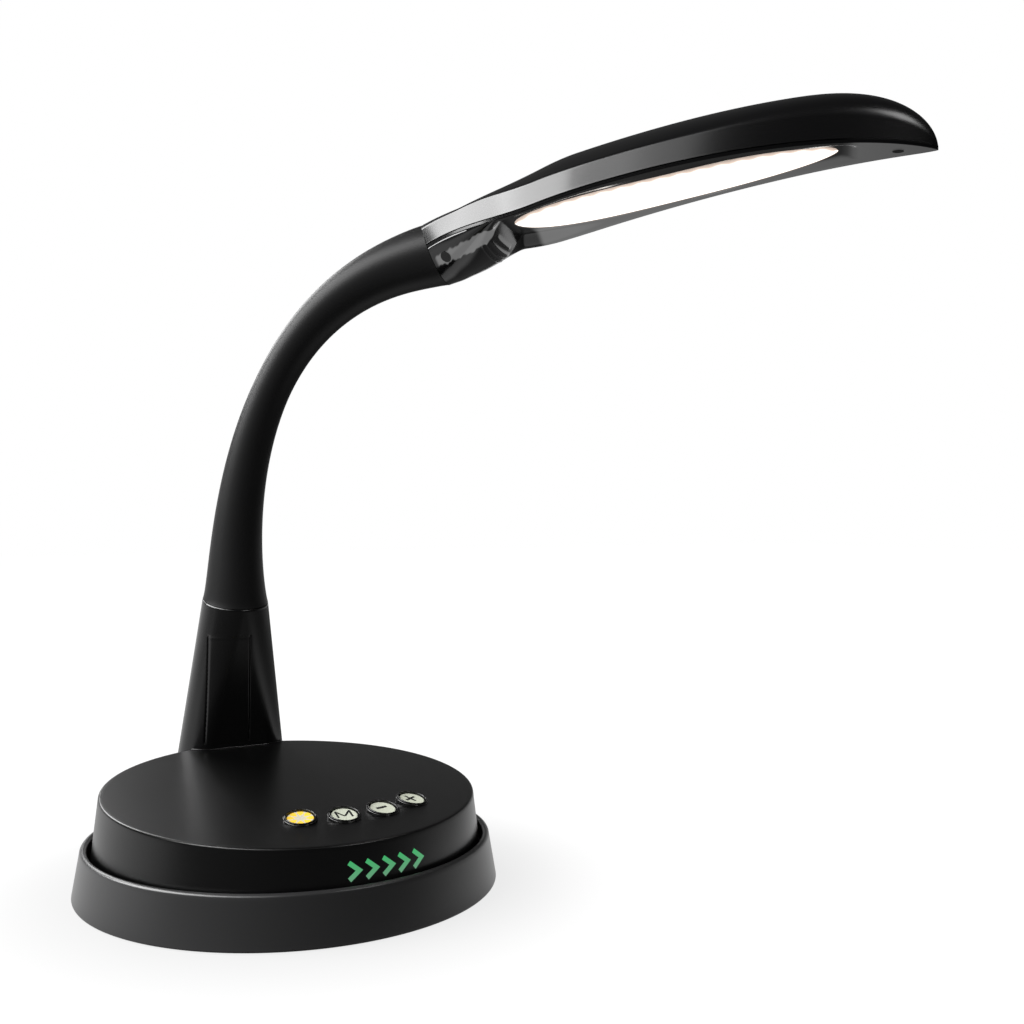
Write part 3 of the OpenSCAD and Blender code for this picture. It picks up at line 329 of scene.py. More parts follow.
def drum_line(a):
    """The drum's section in one direction, from under its wall to near the middle of its top."""
    out = np.array([math.cos(a), math.sin(a), 0.0])
    edge = np.array(drum_edge(a))
    foot = out * (DRUM_R + (TOP_Z - DRUM_Z) * DRAFT) + np.array([0, 0, DRUM_Z])
    up = (edge - foot) / np.linalg.norm(edge - foot)
    centre = np.array([0, 0, TOP_Z])
    inward = (centre - edge) / np.linalg.norm(centre - edge)
    line = [foot - out * DRUM_LIP, foot - out * DRUM_LIP_ROUND, foot + up * DRUM_LIP_ROUND]
    line += [foot + (edge - up * WALL_STOP - foot) * f for f in WALL_SHARES]
    p0, p2 = edge - up * DRUM_ROUND, edge + inward * DRUM_ROUND
    for f in np.linspace(0, 1, DRUM_ROUND_ROWS):
        line.append((1 - f) ** 2 * p0 + 2 * f * (1 - f) * edge + f * f * p2)
    line.append(edge + inward * TOP_START)
    return line + [edge + (centre - edge) * f for f in TOP_SHARES]


drum_lines = [drum_line(2 * math.pi * i / DRUM_SIDES) for i in range(DRUM_SIDES)]
drum_rows = len(drum_lines[0])
drum_points = [line[j] for j in range(drum_rows) for line in drum_lines]
drum_faces = grid_faces(drum_rows, DRUM_SIDES, True)
drum_faces.append(tuple(range((drum_rows - 1) * DRUM_SIDES, drum_rows * DRUM_SIDES)))
drum = add_mesh("drum skin", drum_points, drum_faces, drum_black, 50)

# The four buttons stand on an arc, and each leans outward
BUTTONS = ["power_button", "mode_button", "minus_button", "plus_button"]
ARC_X, ARC_Y, ARC_R, ARC_PITCH, ARC_TURN = 7.6, 10.9, 60, 16.5, 5.2
CAP_TILT = math.radians(10)
HOLE_R, HOLE_REACH, HOLE_CORE_R, HOLE_SIDES = 6.2, 6, 0.01, 48


def on_cap(i, p):
    """A point in a button's own frame, which leans outward."""
    a = math.radians(ARC_TURN + (i - (len(BUTTONS) - 1) / 2) * ARC_PITCH)
    bx, by = ARC_X + ARC_R * math.sin(a), ARC_Y - ARC_R * math.cos(a)
    x, y, z = p
    y, z = y * math.cos(CAP_TILT) - z * math.sin(CAP_TILT), y * math.sin(CAP_TILT) + z * math.cos(CAP_TILT)
    return on_top(bx + x * math.cos(a) - y * math.sin(a), by + x * math.sin(a) + y * math.cos(a), z)


def cap_place(i):
    return lambda p: on_cap(i, p)


# Holes for the buttons
hole_profile = [(HOLE_CORE_R, -HOLE_REACH), (HOLE_R, -HOLE_REACH)]
hole_profile += [(HOLE_R, HOLE_REACH), (HOLE_CORE_R, HOLE_REACH)]
cutters = [lathe("cutter", hole_profile, inner_black, HOLE_SIDES, cap_place(i)) for i in range(len(BUTTONS))]
for cut in cutters:
    mod = drum.modifiers.new("hole", "BOOLEAN")
    mod.object = cut
    mod.operation = "DIFFERENCE"
    mod.solver = "EXACT"
bpy.context.view_layer.update()
deps = bpy.context.evaluated_depsgraph_get()
cut_mesh = bpy.data.meshes.new_from_object(drum.evaluated_get(deps))
drum.modifiers.clear()
drum.data = cut_mesh
cut_mesh.set_sharp_from_angle(angle=math.radians(30))
for cut in cutters:
    bpy.data.objects.remove(cut)
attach(drum, "drum")
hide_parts("drum_shell")

# Glossy bezels
CAP_SIDES = 72
BEZEL_R, BEZEL_ROUND, BEZEL_SHOULDER_Z, BEZEL_LOW_Z = 6.75, 0.35, 1.15, -2.2
BEZEL_STEP = (6.22, 1.36)
BEZEL_LIP_MID, BEZEL_LIP_ROUND = (5.92, 1.7), 0.28
BEZEL_INSIDE = [(5.62, 1.4), (5.6, -2.6)]
bezel_profile = [(BEZEL_R, BEZEL_LOW_Z), (BEZEL_R, BEZEL_SHOULDER_Z)]
bezel_profile += arc(BEZEL_R - BEZEL_ROUND, BEZEL_SHOULDER_Z, BEZEL_ROUND, 0, 100, 6) + [BEZEL_STEP]
bezel_profile += arc(*BEZEL_LIP_MID, BEZEL_LIP_ROUND, 0, 180, 8) + BEZEL_INSIDE
bezels = [lathe(f"bezel {i + 1}", bezel_profile, bezel_black, CAP_SIDES, cap_place(i))
          for i in range(len(BUTTONS))]
for bezel in bezels:
    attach(bezel, "drum")
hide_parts("button_bezels")

# Dished caps with their marks
CAP_R, CAP_ROUND, CAP_LOW_Z, CAP_SHOULDER_Z = 5.3, 0.35, -3.0, 0.9
CAP_TOP_Z, DISH_DEPTH, DISH_R = 1.25, 0.18, 4.8
CAP_RINGS = (4.7, 4.2, 3.4, 2.4, 1.2, 0.3)
MARK_LIFT, MARK_STEPS = 0.04, 8
PETAL_MID_R, PETAL_REACH, PETAL_SPREAD, PETAL_WAVES = 3.9, 2.2, 0.95, 4.0
PETAL_EDGE = (1.0, 1.2)
DISC_PALE, PETAL_YELLOW, SUN_GLOW = (0.40, 0.38, 0.30), (0.66, 0.43, 0.04), 0.3


def cap_height(r):
    return CAP_TOP_Z - DISH_DEPTH * (1 - (r / DISH_R) ** 2) if r < DISH_R else CAP_TOP_Z


def sun_material():
    """Pale disc with eight yellow petals round its middle, lit a little from within."""
    mat = principled("sun cap", DISC_PALE, 0.4, Emission_Strength=SUN_GLOW)
    tree = mat.node_tree
    node = tree.nodes["Principled BSDF"]
    attr = tree.nodes.new("ShaderNodeAttribute")
    attr.attribute_name = "cap"
    sep = tree.nodes.new("ShaderNodeSeparateXYZ")
    tree.links.new(attr.outputs["Vector"], sep.inputs[0])
    x, y = sep.outputs["X"], sep.outputs["Y"]
    square = math_node(tree, "ADD", math_node(tree, "MULTIPLY", x, x), math_node(tree, "MULTIPLY", y, y))
    off_mid = math_node(tree, "SUBTRACT", math_node(tree, "SQRT", square), PETAL_MID_R)
    off_share = math_node(tree, "ABSOLUTE", math_node(tree, "DIVIDE", off_mid, PETAL_REACH))
    wide = math_node(tree, "MULTIPLY", math_node(tree, "SUBTRACT", 1.0, off_share), PETAL_SPREAD)
    turn = math_node(tree, "MULTIPLY", math_node(tree, "ARCTAN2", y, x), PETAL_WAVES)
    lobe = math_node(tree, "ABSOLUTE", math_node(tree, "COSINE", turn))
    petal = map_range(tree, math_node(tree, "ADD", lobe, wide), span=PETAL_EDGE)
    color = mixed(tree, petal, DISC_PALE, PETAL_YELLOW)
    tree.links.new(color, node.inputs["Base Color"])
    tree.links.new(color, node.inputs["Emission Color"])
    return mat


def mark_mesh(name, strokes, i):
    """Flat dark strokes just proud of a cap. A stroke is two points and a width."""
    points, faces = [], []
    for start, end, width in strokes:
        start, end = np.array(start, float), np.array(end, float)
        d = (end - start) / np.linalg.norm(end - start)
        n = np.array([-d[1], d[0]]) * width / 2
        base = len(points)
        for k in range(MARK_STEPS + 1):
            p = start + (end - start) * k / MARK_STEPS
            for side in (1, -1):
                q = p + n * side
                points.append(on_cap(i, (q[0], q[1], cap_height(math.hypot(*q)) + MARK_LIFT)))
        for k in range(base, base + 2 * MARK_STEPS, 2):
            faces.append((k, k + 1, k + 3, k + 2))
    return add_mesh(name, points, faces, mark_black)


LETTER_M = [((-2.9, -2.0), (-2.9, 3.2), 0.85), ((2.9, -2.0), (2.9, 3.2), 0.85),
            ((-2.9, 3.1), (0, -0.9), 0.8), ((0, -0.9), (2.9, 3.1), 0.8)]
MINUS = [((-2.5, 0.9), (2.5, 0.9), 1.3)]
PLUS = [((-2.8, 0.8), (2.8, 0.8), 1.1), ((0, -2.0), (0, 3.6), 1.0)]
MARKS = {"mode_button": LETTER_M, "minus_button": MINUS, "plus_button": PLUS}
sun_cap = sun_material()
cap_profile = [(CAP_R, CAP_LOW_Z), (CAP_R, CAP_SHOULDER_Z)]
cap_profile += arc(CAP_R - CAP_ROUND, CAP_SHOULDER_Z, CAP_ROUND, 0, 80, 5)
cap_profile += [(r, cap_height(r)) for r in CAP_RINGS]
cap_local = [(r * c, r * s, 0.0) for r, _ in cap_profile for c, s in circle(CAP_SIDES)]
for i, name in enumerate(BUTTONS):
    title = name.replace("_", " ")
    lit = name == "power_button"
    cap_mat = sun_cap if lit else cap_pale
    cap = lathe(title + " cap", cap_profile, cap_mat, CAP_SIDES, cap_place(i), closed=True)
    data = cap.data.attributes.new("cap", "FLOAT_VECTOR", "POINT")
    data.data.foreach_set("vector", np.array(cap_local, np.float32).ravel())
    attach(cap, name)
    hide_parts(name)
    if name in MARKS:
        mark = mark_mesh(title + " mark", MARKS[name], i)
        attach(mark, name)

# Level arrows: lit green, paler toward the bottom
ARROW_Z = (0.0208, 0.0284)
ARROW_LOW, ARROW_HIGH, ARROW_GLOW = (0.17, 0.40, 0.24), (0.05, 0.56, 0.17), 0.7
arrow_green = principled("arrow green", (0.03, 0.10, 0.05), 0.3, Emission_Strength=ARROW_GLOW)
tree = arrow_green.node_tree
sep = tree.nodes.new("ShaderNodeSeparateXYZ")
tree.links.new(tree.nodes.new("ShaderNodeTexCoord").outputs["Object"], sep.inputs[0])
color = mixed(tree, map_range(tree, sep.outputs["Z"], span=ARROW_Z), ARROW_LOW, ARROW_HIGH)
tree.links.new(color, tree.nodes["Principled BSDF"].inputs["Emission Color"])
nodes["level_arrows"].data.materials.clear()
nodes["level_arrows"].data.materials.append(arrow_green)

# Stem: a D-shaped foot, of three circles given by centre and radius, drawn up into a round leaning top
FOOT_CIRCLES = [(12.5, 83.0, 13.0), (-12.5, 83.0, 13.0), (0.0, 86.0, 16.0)]
LEAN = math.radians(13.9)
STEM_TOP_R, STEM_SIDES = 15.45, 420
SKIRT_Z, STEM_BASE_Z = 23.0, STEM_FOOT_Z - 3.6
OUTLINE_FINE, OUTLINE_JUMP, OUTLINE_STEP = 2880, 0.6, 0.4
TOP_ROUND_FROM, TOP_ROUND_IN = 0.99, 0.35
FRONT_SIN = -0.2
COVER_LOW, COVER_HIGH = STEM_FOOT_Z + 4, STEM_TOP_Z - 17
COVER_X, COVER_HALF, COVER_TAPER, COVER_OVER = -6, 10.5, 1.5, 0.02
GROOVE_DEPTH, GROOVE_HALF = 0.75, 0.32
END_SHARE, END_HALF, END_REACH = 0.12, 0.5, 0.3


def foot_point(a):
    u = (math.cos(a), math.sin(a))
    c = max(FOOT_CIRCLES, key=lambda c: c[0] * u[0] + c[1] * u[1] + c[2])
    return np.array([c[0] + c[2] * u[0], c[1] + c[2] * u[1]])


def even_outline(count):
    """The foot's outline in even steps, with its straight runs filled in, and the direction at each step."""
    points, angles = [], []
    for a in [2 * math.pi * i / OUTLINE_FINE for i in range(OUTLINE_FINE)]:
        p = foot_point(a)
        if points and np.linalg.norm(p - points[-1]) > OUTLINE_JUMP:
            q = points[-1]
            n = int(np.linalg.norm(p - q) / OUTLINE_STEP)
            for k in range(1, n):
                points.append(q + (p - q) * k / n)
                angles.append(a)
        points.append(p)
        angles.append(a)
    steps = [np.linalg.norm(points[(i + 1) % len(points)] - points[i]) for i in range(len(points))]
    length = np.concatenate([[0], np.cumsum(steps)])
    want = np.linspace(0, length[-1], count, endpoint=False)
    xs = np.interp(want, length, [p[0] for p in points] + [points[0][0]])
    ys = np.interp(want, length, [p[1] for p in points] + [points[0][1]])
    return xs, ys, np.interp(want, length, angles + [angles[0] + 2 * math.pi])


def cover_groove(p):
    """How deep the cover's outline is pressed into the stem's front, as a share of the whole depth."""
    g = (p[2] - COVER_LOW) / (COVER_HIGH - COVER_LOW)
    side = abs(p[0] - COVER_X) - (COVER_HALF - COVER_TAPER * g)
    beside = math.exp(-(side / GROOVE_HALF) ** 2) if -COVER_OVER < g < 1 + COVER_OVER else 0.0
    end = math.exp(-((p[2] - COVER_HIGH) / END_HALF) ** 2) * END_SHARE if side < END_REACH else 0.0
    return max(beside, end)


foot_x, foot_y, foot_a = even_outline(STEM_SIDES)
stem_rows = [-1.0, -0.999, -0.5, -0.02] + list(np.linspace(0, 0.985, 130)) + [0.992, 0.997, 1.0]
stem_points = []
for f in stem_rows:
    for x, y, a in zip(foot_x, foot_y, foot_a):
        foot = np.array([x, y, STEM_BASE_Z])
        if f < 0:
            stem_points.append(foot + np.array([0, 0, (STEM_BASE_Z - SKIRT_Z) * f]))
            continue
        mid = np.array([0, AXIS_Y, STEM_TOP_Z])
        right, back = STEM_TOP_R * math.cos(a), STEM_TOP_R * math.sin(a)
        top = mid + np.array([right, back * math.cos(LEAN), back * math.sin(LEAN)])
        p = foot + (top - foot) * f
        if f > TOP_ROUND_FROM:
            rounded = ((f - TOP_ROUND_FROM) / (1 - TOP_ROUND_FROM)) ** 2
            p = p + (mid - p) * (TOP_ROUND_IN / STEM_TOP_R) * rounded
        if math.sin(a) < FRONT_SIN and f > 0:
            p = p + np.array([0, GROOVE_DEPTH * cover_groove(p), 0])
        stem_points.append(p)
stem_faces = grid_faces(len(stem_rows), STEM_SIDES, True)
stem_faces.append(tuple(range(STEM_SIDES)))
stem_faces.append(tuple(range((len(stem_rows) - 1) * STEM_SIDES, len(stem_rows) * STEM_SIDES)))
stem = add_mesh("stem skin", stem_points, stem_faces, stem_black, 60)
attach(stem, "drum")
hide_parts("stem_shell", "stem_cover")

# Bead where the stem meets the drum's top
BEAD_STEPS, BEAD_SIDES, BEAD_R, BEAD_OUT, BEAD_UP, BEAD_EDGE = 300, 8, 0.45, 0.15, 0.1, 1
bead_x, bead_y, bead_a = even_outline(BEAD_STEPS)
bead_points, bead_faces = [], []
for c, s in circle(BEAD_SIDES):
    for i in range(BEAD_STEPS):
        out = BEAD_OUT + BEAD_R * c
        x, y = bead_x[i] + math.cos(bead_a[i]) * out, bead_y[i] + math.sin(bead_a[i]) * out
        on_drum_y = min(y, drum_edge(math.atan2(y, x))[1])
        bead_points.append((x, y, TOP_Z + on_drum_y * math.tan(SLOPE) + BEAD_UP + BEAD_R * s))
on_drum = [math.hypot(x, y) <= DRUM_R - BEAD_EDGE for x, y in zip(bead_x, bead_y)]
for k in range(BEAD_SIDES):
    this, following = k * BEAD_STEPS, (k + 1) % BEAD_SIDES * BEAD_STEPS
    for i in range(BEAD_STEPS):
        j = (i + 1) % BEAD_STEPS
        if on_drum[i] and on_drum[j]:
            bead_faces.append((this + i, this + j, following + j, following + i))
bead = add_mesh("stem foot bead", bead_points, bead_faces, stem_black, 80)
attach(bead, "drum")

# Neck: the sleeve in seven lengths, each spanning one hinge
START_PULL, END_PULL, END_RISE = 17, 109.6, math.radians(8.4)
NECK_A = np.array([0, STEM_TOP_Z])
NECK_B = np.array([0, STEM_TOP_Z + START_PULL])
NECK_D = np.array([NECK_REACH, STEM_TOP_Z + NECK_RISE])
NECK_C = NECK_D - END_PULL * np.array([math.cos(END_RISE), math.sin(END_RISE)])
HINGES, HINGE_END, TABLE_STEPS = 7, 18, 60
SLEEVE_FOOT_R, SLEEVE_SLIM_R, SLIM_T = 15.38, 8.96, 0.6
FOOT_POWER, ROOT_POWER = 1.4, 2
SLEEVE_SIDES, SLEEVE_ROWS = 72, 24
END_GAP, LIP_IN, LIP_ROUND = 0.25, 2.2, 0.3


def neck_point(t):
    return ((1 - t) ** 3 * NECK_A + 3 * (1 - t) ** 2 * t * NECK_B
            + 3 * (1 - t) * t * t * NECK_C + t ** 3 * NECK_D)


def neck_angle(t):
    d = (1 - t) ** 2 * (NECK_B - NECK_A) + 2 * (1 - t) * t * (NECK_C - NECK_B) + t * t * (NECK_D - NECK_C)
    return math.atan2(d[1], d[0])


table_t = np.linspace(0, 1, TABLE_STEPS + 1)
table_p = [neck_point(t) for t in table_t]
table_d = np.concatenate([[0], np.cumsum([np.linalg.norm(b - a) for a, b in zip(table_p, table_p[1:])])])
NECK_LEN = table_d[-1]


def t_at(d):
    """The curve's parameter at a distance along the neck."""
    return float(np.interp(d, table_d, table_t))


hinge_gap = (NECK_LEN - 2 * HINGE_END) / (HINGES - 1)
hinge_d = [HINGE_END + hinge_gap * k for k in range(HINGES)]
first_t, last_t = t_at(hinge_d[0]), t_at(hinge_d[-1])


def sleeve_r(t):
    if t < SLIM_T:
        return SLEEVE_SLIM_R + (SLEEVE_FOOT_R - SLEEVE_SLIM_R) * ((SLIM_T - t) / SLIM_T) ** FOOT_POWER
    return SLEEVE_SLIM_R + (ROOT_R - SLEEVE_SLIM_R) * ((t - SLIM_T) / (1 - SLIM_T)) ** ROOT_POWER


def sleeve_ring(t, narrower=0.0, lift=0.0):
    """A ring of the sleeve. At the sleeve's ends it lies along the stem's leaning top and the head's seam."""
    a = neck_angle(t)
    low_part = 1 - smooth(t / first_t)
    high_part = smooth((t - last_t) / (1 - last_t))
    ahead = np.array([math.cos(a), 0, math.sin(a)])
    front = np.array([math.cos(ARM), math.sin(ARM), 0])
    seam = np.array([math.cos(SEAM), 0, math.sin(SEAM)])
    n = ahead + low_part * math.tan(LEAN) * front + high_part * (seam - ahead)
    n /= np.linalg.norm(n)
    up = np.cross(n, [0, 1, 0])
    up /= np.linalg.norm(up)
    side = np.cross(up, n)
    p = neck_point(t)
    mid = np.array([p[0], 0, p[1]]) + lift * n
    r = sleeve_r(t) - narrower
    return [in_arm(*(mid + r * (c * side + s * up))) for c, s in circle(SLEEVE_SIDES)]


cuts = [0.0] + [(a + b) / 2 for a, b in zip(hinge_d, hinge_d[1:])] + [NECK_LEN]
for k in range(HINGES):
    ts = [t_at(cuts[k] + (cuts[k + 1] - cuts[k]) * j / SLEEVE_ROWS) for j in range(SLEEVE_ROWS + 1)]
    lifts = [0.0] * len(ts)
    first, last = k == 0, k == HINGES - 1
    if first:
        lifts[0] = END_GAP
    if last:
        lifts[-1] = -END_GAP
    rings = [sleeve_ring(t, lift=lift) for t, lift in zip(ts, lifts)]
    if first:
        rings = [sleeve_ring(0, LIP_IN, END_GAP), sleeve_ring(0, LIP_ROUND, END_GAP)] + rings
    if last:
        rings += [sleeve_ring(1, LIP_ROUND, -END_GAP), sleeve_ring(1, LIP_IN, -END_GAP)]
    points = [p for ring_points in rings for p in ring_points]
    faces = grid_faces(len(rings), SLEEVE_SIDES, True)
    piece = add_mesh(f"sleeve length {k + 1}", points, faces, rubber, 60)
    p, a = neck_point(t_at(hinge_d[k])), neck_angle(t_at(hinge_d[k]))
    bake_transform(piece)
    if last:
        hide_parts("sleeve_7", "sleeve_8")
    else:
        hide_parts(f"sleeve_{k + 1}")

# Head: distances s run along the arm from the stem's axis, v across it and h up from the lip
HEAD_S, HEAD_LEN, HEAD_W, HEAD_H = NECK_REACH, 218.4, 66.0, 26.1
WALL_H, ROOT_WALL_H = 11.9, 9.6
TIP_S, ROOT_Z = HEAD_S + HEAD_LEN, STEM_TOP_Z + NECK_RISE
PEAK_S, NOSE_S, NOSE_H_S = TIP_S - 15, HEAD_S + 0.274 * HEAD_LEN, TIP_S - 56.8
RISE, RISE_POWER = 33.4, 1.82
LIFT, LIFT_LEN = 6.2, 52.5
DROOP, DROOP_LEN = 1.3, 60
SWELL_LEN, CROWN_LEN, WALL_LEN, SEAM_LEN = 70, 67.3, 35, 16
NOSE_CURVE, NOSE_ROOT, CROWN_CURVE, CROWN_ROOT = 2.07, 1.29, 2.6, 2
DOME_DROP, DOME_LEN = 0.45, 0.5 * HEAD_LEN
CREASE_IN, CREASE_ROUND, CREASE_SHARE = 0.06, 0.7, 0.3
SHELL_LOW, SHELL_LOW_SHARE = 1.7, 0.4
ROOT_ZONE, NOSE_ZONE, TIP_STOP = 56, 30, 0.05
WALL_SAMPLES, DOME_SAMPLES, SKIN_SAMPLES, SKIN_COLS = 40, 120, 400, 90


def lip_z(s):
    return (ROOT_Z - LIFT * smooth((s - HEAD_S) / LIFT_LEN)
            + (RISE + LIFT) * (1 - (abs(PEAK_S - s) / (PEAK_S - HEAD_S)) ** RISE_POWER)
            - DROOP * max(0, 1 - (TIP_S - s) / DROOP_LEN) ** 2)


def nose(s, start, power, root):
    x = np.clip((s - start) / (TIP_S - start), 0, 1)
    return (1 - x ** power) ** (1 / root)


def head_half(s):
    x = np.clip((s - HEAD_S) / SWELL_LEN, 0, 1)
    grown = 1 - (1 - x) ** 2
    return (ROOT_R + (HEAD_W / 2 - ROOT_R) * grown) * nose(s, NOSE_S, NOSE_CURVE, NOSE_ROOT)


def crown_h(s):
    grown = smooth((s - HEAD_S) / CROWN_LEN)
    return (ROOT_R + (HEAD_H - ROOT_R) * grown) * nose(s, NOSE_H_S, CROWN_CURVE, CROWN_ROOT)


def wall_h(s):
    grown = smooth((s - HEAD_S) / WALL_LEN)
    return (ROOT_WALL_H + (WALL_H - ROOT_WALL_H) * grown) * nose(s, NOSE_H_S, CROWN_CURVE, CROWN_ROOT)


def dome_power(s):
    return 1 - DOME_DROP * smooth((s - NOSE_S) / DOME_LEN)


def head_point(s, v, h):
    lean = SEAM * (1 - smooth((s - HEAD_S) / SEAM_LEN))
    return in_arm(s - h * math.sin(lean), v, lip_z(s) + h * math.cos(lean))


def head_stations(count_root, count_mid, count_nose):
    """Places along the head, closest together at the tip."""
    root_end, nose_start = HEAD_S + ROOT_ZONE, NOSE_S + NOSE_ZONE
    a = np.linspace(HEAD_S, root_end, count_root, endpoint=False)
    b = np.linspace(root_end, nose_start, count_mid, endpoint=False)
    c = nose_start + (TIP_S - TIP_STOP - nose_start) * np.sin(np.linspace(0, math.pi / 2, count_nose))
    return np.concatenate([a, b, c])


def skin_profile(s):
    """Half section of the shell from its lower edge to its crown, rounded a little at the crease."""
    w, crown = head_half(s), crown_h(s)
    low_edge = min(SHELL_LOW, SHELL_LOW_SHARE * crown)
    turn = max(wall_h(s), low_edge + CREASE_SHARE * (crown - low_edge))
    v, h = [], []
    for f in np.linspace(0, 1, WALL_SAMPLES, endpoint=False):
        v.append(w * (1 - CREASE_IN * f))
        h.append(low_edge + f * (turn - low_edge))
    for b in np.linspace(0, math.pi / 2, DOME_SAMPLES):
        f = math.cos(b)
        v.append((1 - CREASE_IN) * w * f)
        h.append(turn + (crown - turn) * max(1 - f * f, 0) ** dome_power(s))
    length = np.concatenate([[0], np.cumsum(np.hypot(np.diff(v), np.diff(h)))])
    want = np.linspace(0, length[-1], SKIN_SAMPLES)
    v, h = np.interp(want, length, v), np.interp(want, length, h)
    reach = max(1, int(CREASE_ROUND / (length[-1] / SKIN_SAMPLES)))
    kernel = np.hanning(2 * reach + 3)[1:-1]
    kernel /= kernel.sum()
    pad = len(kernel) // 2
    v = np.concatenate([np.repeat(v[0], pad), v, -v[::-1][1:pad + 1]])
    h = np.concatenate([h[0] - (h[1:pad + 1][::-1] - h[0]), h, h[::-1][1:pad + 1]])
    v, h = np.convolve(v, kernel, "valid"), np.convolve(h, kernel, "valid")
    pick = np.linspace(0, SKIN_SAMPLES - 1, SKIN_COLS)
    every = np.arange(SKIN_SAMPLES)
    return np.interp(pick, every, v), np.interp(pick, every, h)


# Head shell, with a gloss that differs between its wall and its crown
SHELL_LIP, SHELL_LIP_H, SHELL_LIP_SHARE = 2.2, 1.2, 0.3
EDGE_IN, EDGE_UP = 0.25, 0.2
GLOSS_BELOW, GLOSS_SPAN = 0.6, 1.6
shell_rings, shell_gloss = [], []
for s in head_stations(60, 24, 70):
    v, h = skin_profile(s)
    lip_in = max(v[0] - SHELL_LIP, SHELL_LIP_SHARE * v[0])
    half_ring = [(lip_in, h[0] + SHELL_LIP_H), (lip_in, h[0])]
    half_ring += [(v[0] - EDGE_IN, h[0]), (v[0], h[0] + EDGE_UP)]
    half_ring += list(zip(v[2:-1], h[2:-1])) + [(0.0, h[-1])]
    whole_ring = half_ring + [(-p, q) for p, q in half_ring[-2::-1]]
    shell_rings.append([head_point(s, p, q) for p, q in whole_ring])
    shell_gloss += [1 - float(smooth((q - wall_h(s) + GLOSS_BELOW) / GLOSS_SPAN)) for _, q in whole_ring]
shell_faces = grid_faces(len(shell_rings), len(shell_rings[0]), False)
shell = add_mesh("head skin", [p for r in shell_rings for p in r], shell_faces, head_black, 45)
add_values(shell, "gloss", shell_gloss)
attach(shell, "head")
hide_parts("head_shell")

# The light is a flat plate whose ends lie above the lip
LIGHT_S, LIGHT_LEN, LIGHT_W = HEAD_S + 36.8, 141.4, 44.9
LIGHT_END = LIGHT_S + LIGHT_LEN
LIGHT_Z0, LIGHT_Z1 = lip_z(LIGHT_S) + 4.9, lip_z(LIGHT_END) + 2.3
LEAF_CURVE, LEAF_SKEW = 2.84, 0.26


def light_h(s):
    return LIGHT_Z0 + (LIGHT_Z1 - LIGHT_Z0) * (s - LIGHT_S) / LIGHT_LEN - lip_z(s)


def light_stations(count):
    return LIGHT_S + LIGHT_LEN * (1 - np.cos(np.linspace(0, math.pi, count))) / 2


def leaf_half(s, side):
    """Half width of the window, to its near edge or to its far one, which runs a little askew."""
    x = 2 * (s - LIGHT_S) / LIGHT_LEN - 1
    skew = 1 - LEAF_SKEW * x if side > 0 else 1
    return LIGHT_W / 2 * math.sqrt(max(0, 1 - abs(x) ** LEAF_CURVE)) * skew


# Underside panel with a belly, ridges, a recess and a leaf-shaped window
BELLY_LEN = 35
RECESS_LIFT, RECESS_SLOPE, RECESS_PAST = 0.3, 8, 1
PANEL_RIM, PANEL_ACROSS = 2.6, 60
RIDGES = [(128.7, 18.6), (130.5, 18.0), (132.3, 16.5), (134.1, 12.5)]
RIDGE_H, RIDGE_HALF, RIDGE_FADE = 0.45, 0.42, 3
# Where the painted sheen lies: a painted reflection along the belly, and painted light on the far slope and
# by the tip
BAND_S = [102, 106, 117, 128, 132, 135, 139, 142]
BAND_LOW = [0.80, 0.77, 0.72, 0.65, 0.60, 0.58, 0.60, 0.62]
BAND_TOP, BAND_DIP, BAND_EDGE = 0.94, 0.25, 0.02
BAND_IN, BAND_OUT, DIP_IN, DIP_OUT = (103.5, 1.5), (140, 14), (131, 6), (140, 8)
WAVES = [(0.018, 0.9, 0), (0.012, 2.1, 1)]
SLOPE_S, SLOPE_PAINTED_SHEEN = [160, 200, 280, 321], [0.9, 0.8, 0.6, 0.4]
SLOPE_IN, SLOPE_SKEW, FAR_IN, TIP_IN = (141, 3), 4, (0.3, 0.3), (LIGHT_END + 2, 6)
PANEL_EDGE_H, PANEL_EDGE_LOW, PANEL_EDGE_SHARE = 1.4, 0.25, 0.2
WINDOW_WALL, WINDOW_SHARE = 2.0, 0.9


def belly(s):
    return ROOT_R * (1 - min(1, (s - HEAD_S) / BELLY_LEN) ** 3)


def recess(s):
    starts = smooth((s - LIGHT_S) / RECESS_SLOPE + 1)
    ends = 1 - smooth((s - LIGHT_END - RECESS_PAST) / RECESS_SLOPE)
    return (light_h(s) - RECESS_LIFT) * starts * ends


def panel_low(s, v):
    w = head_half(s)
    f = min(abs(v) / w, 1.0) if w > 0 else 1.0
    share = smooth(((1 - f) * w - PANEL_RIM) / RECESS_SLOPE)
    ridge = sum(RIDGE_H * math.exp(-((s - mid) / RIDGE_HALF) ** 2) * smooth((reach - abs(v)) / RIDGE_FADE)
                for mid, reach in RIDGES)
    return recess(s) * share - belly(s) * math.sqrt(max(0, 1 - f * f)) - ridge


def fade(x, start, length):
    return smooth((x - start) / length)


def painted_sheen(s, v):
    """Painted sheen: a painted grey reflection with a wavy edge along the belly's near flank, and painted
    light on the far slope and by the tip.
    """
    f = v / head_half(s)
    wave = sum(size * math.sin(rate * s + turn) for size, rate, turn in WAVES)
    band_top = BAND_TOP + wave / 2 - BAND_DIP * fade(s, *DIP_IN) * (1 - fade(s, *DIP_OUT))
    band_low = np.interp(s, BAND_S, BAND_LOW)
    band = smooth((-f - band_low - wave) / BAND_EDGE) * smooth((band_top + f) / BAND_EDGE)
    band *= fade(s, *BAND_IN) * (1 - fade(s, *BAND_OUT))
    far = fade(s - SLOPE_SKEW * f, *SLOPE_IN) * np.interp(s, SLOPE_S, SLOPE_PAINTED_SHEEN)
    far *= max(fade(f, *FAR_IN), fade(s, *TIP_IN))
    return max(band, far)


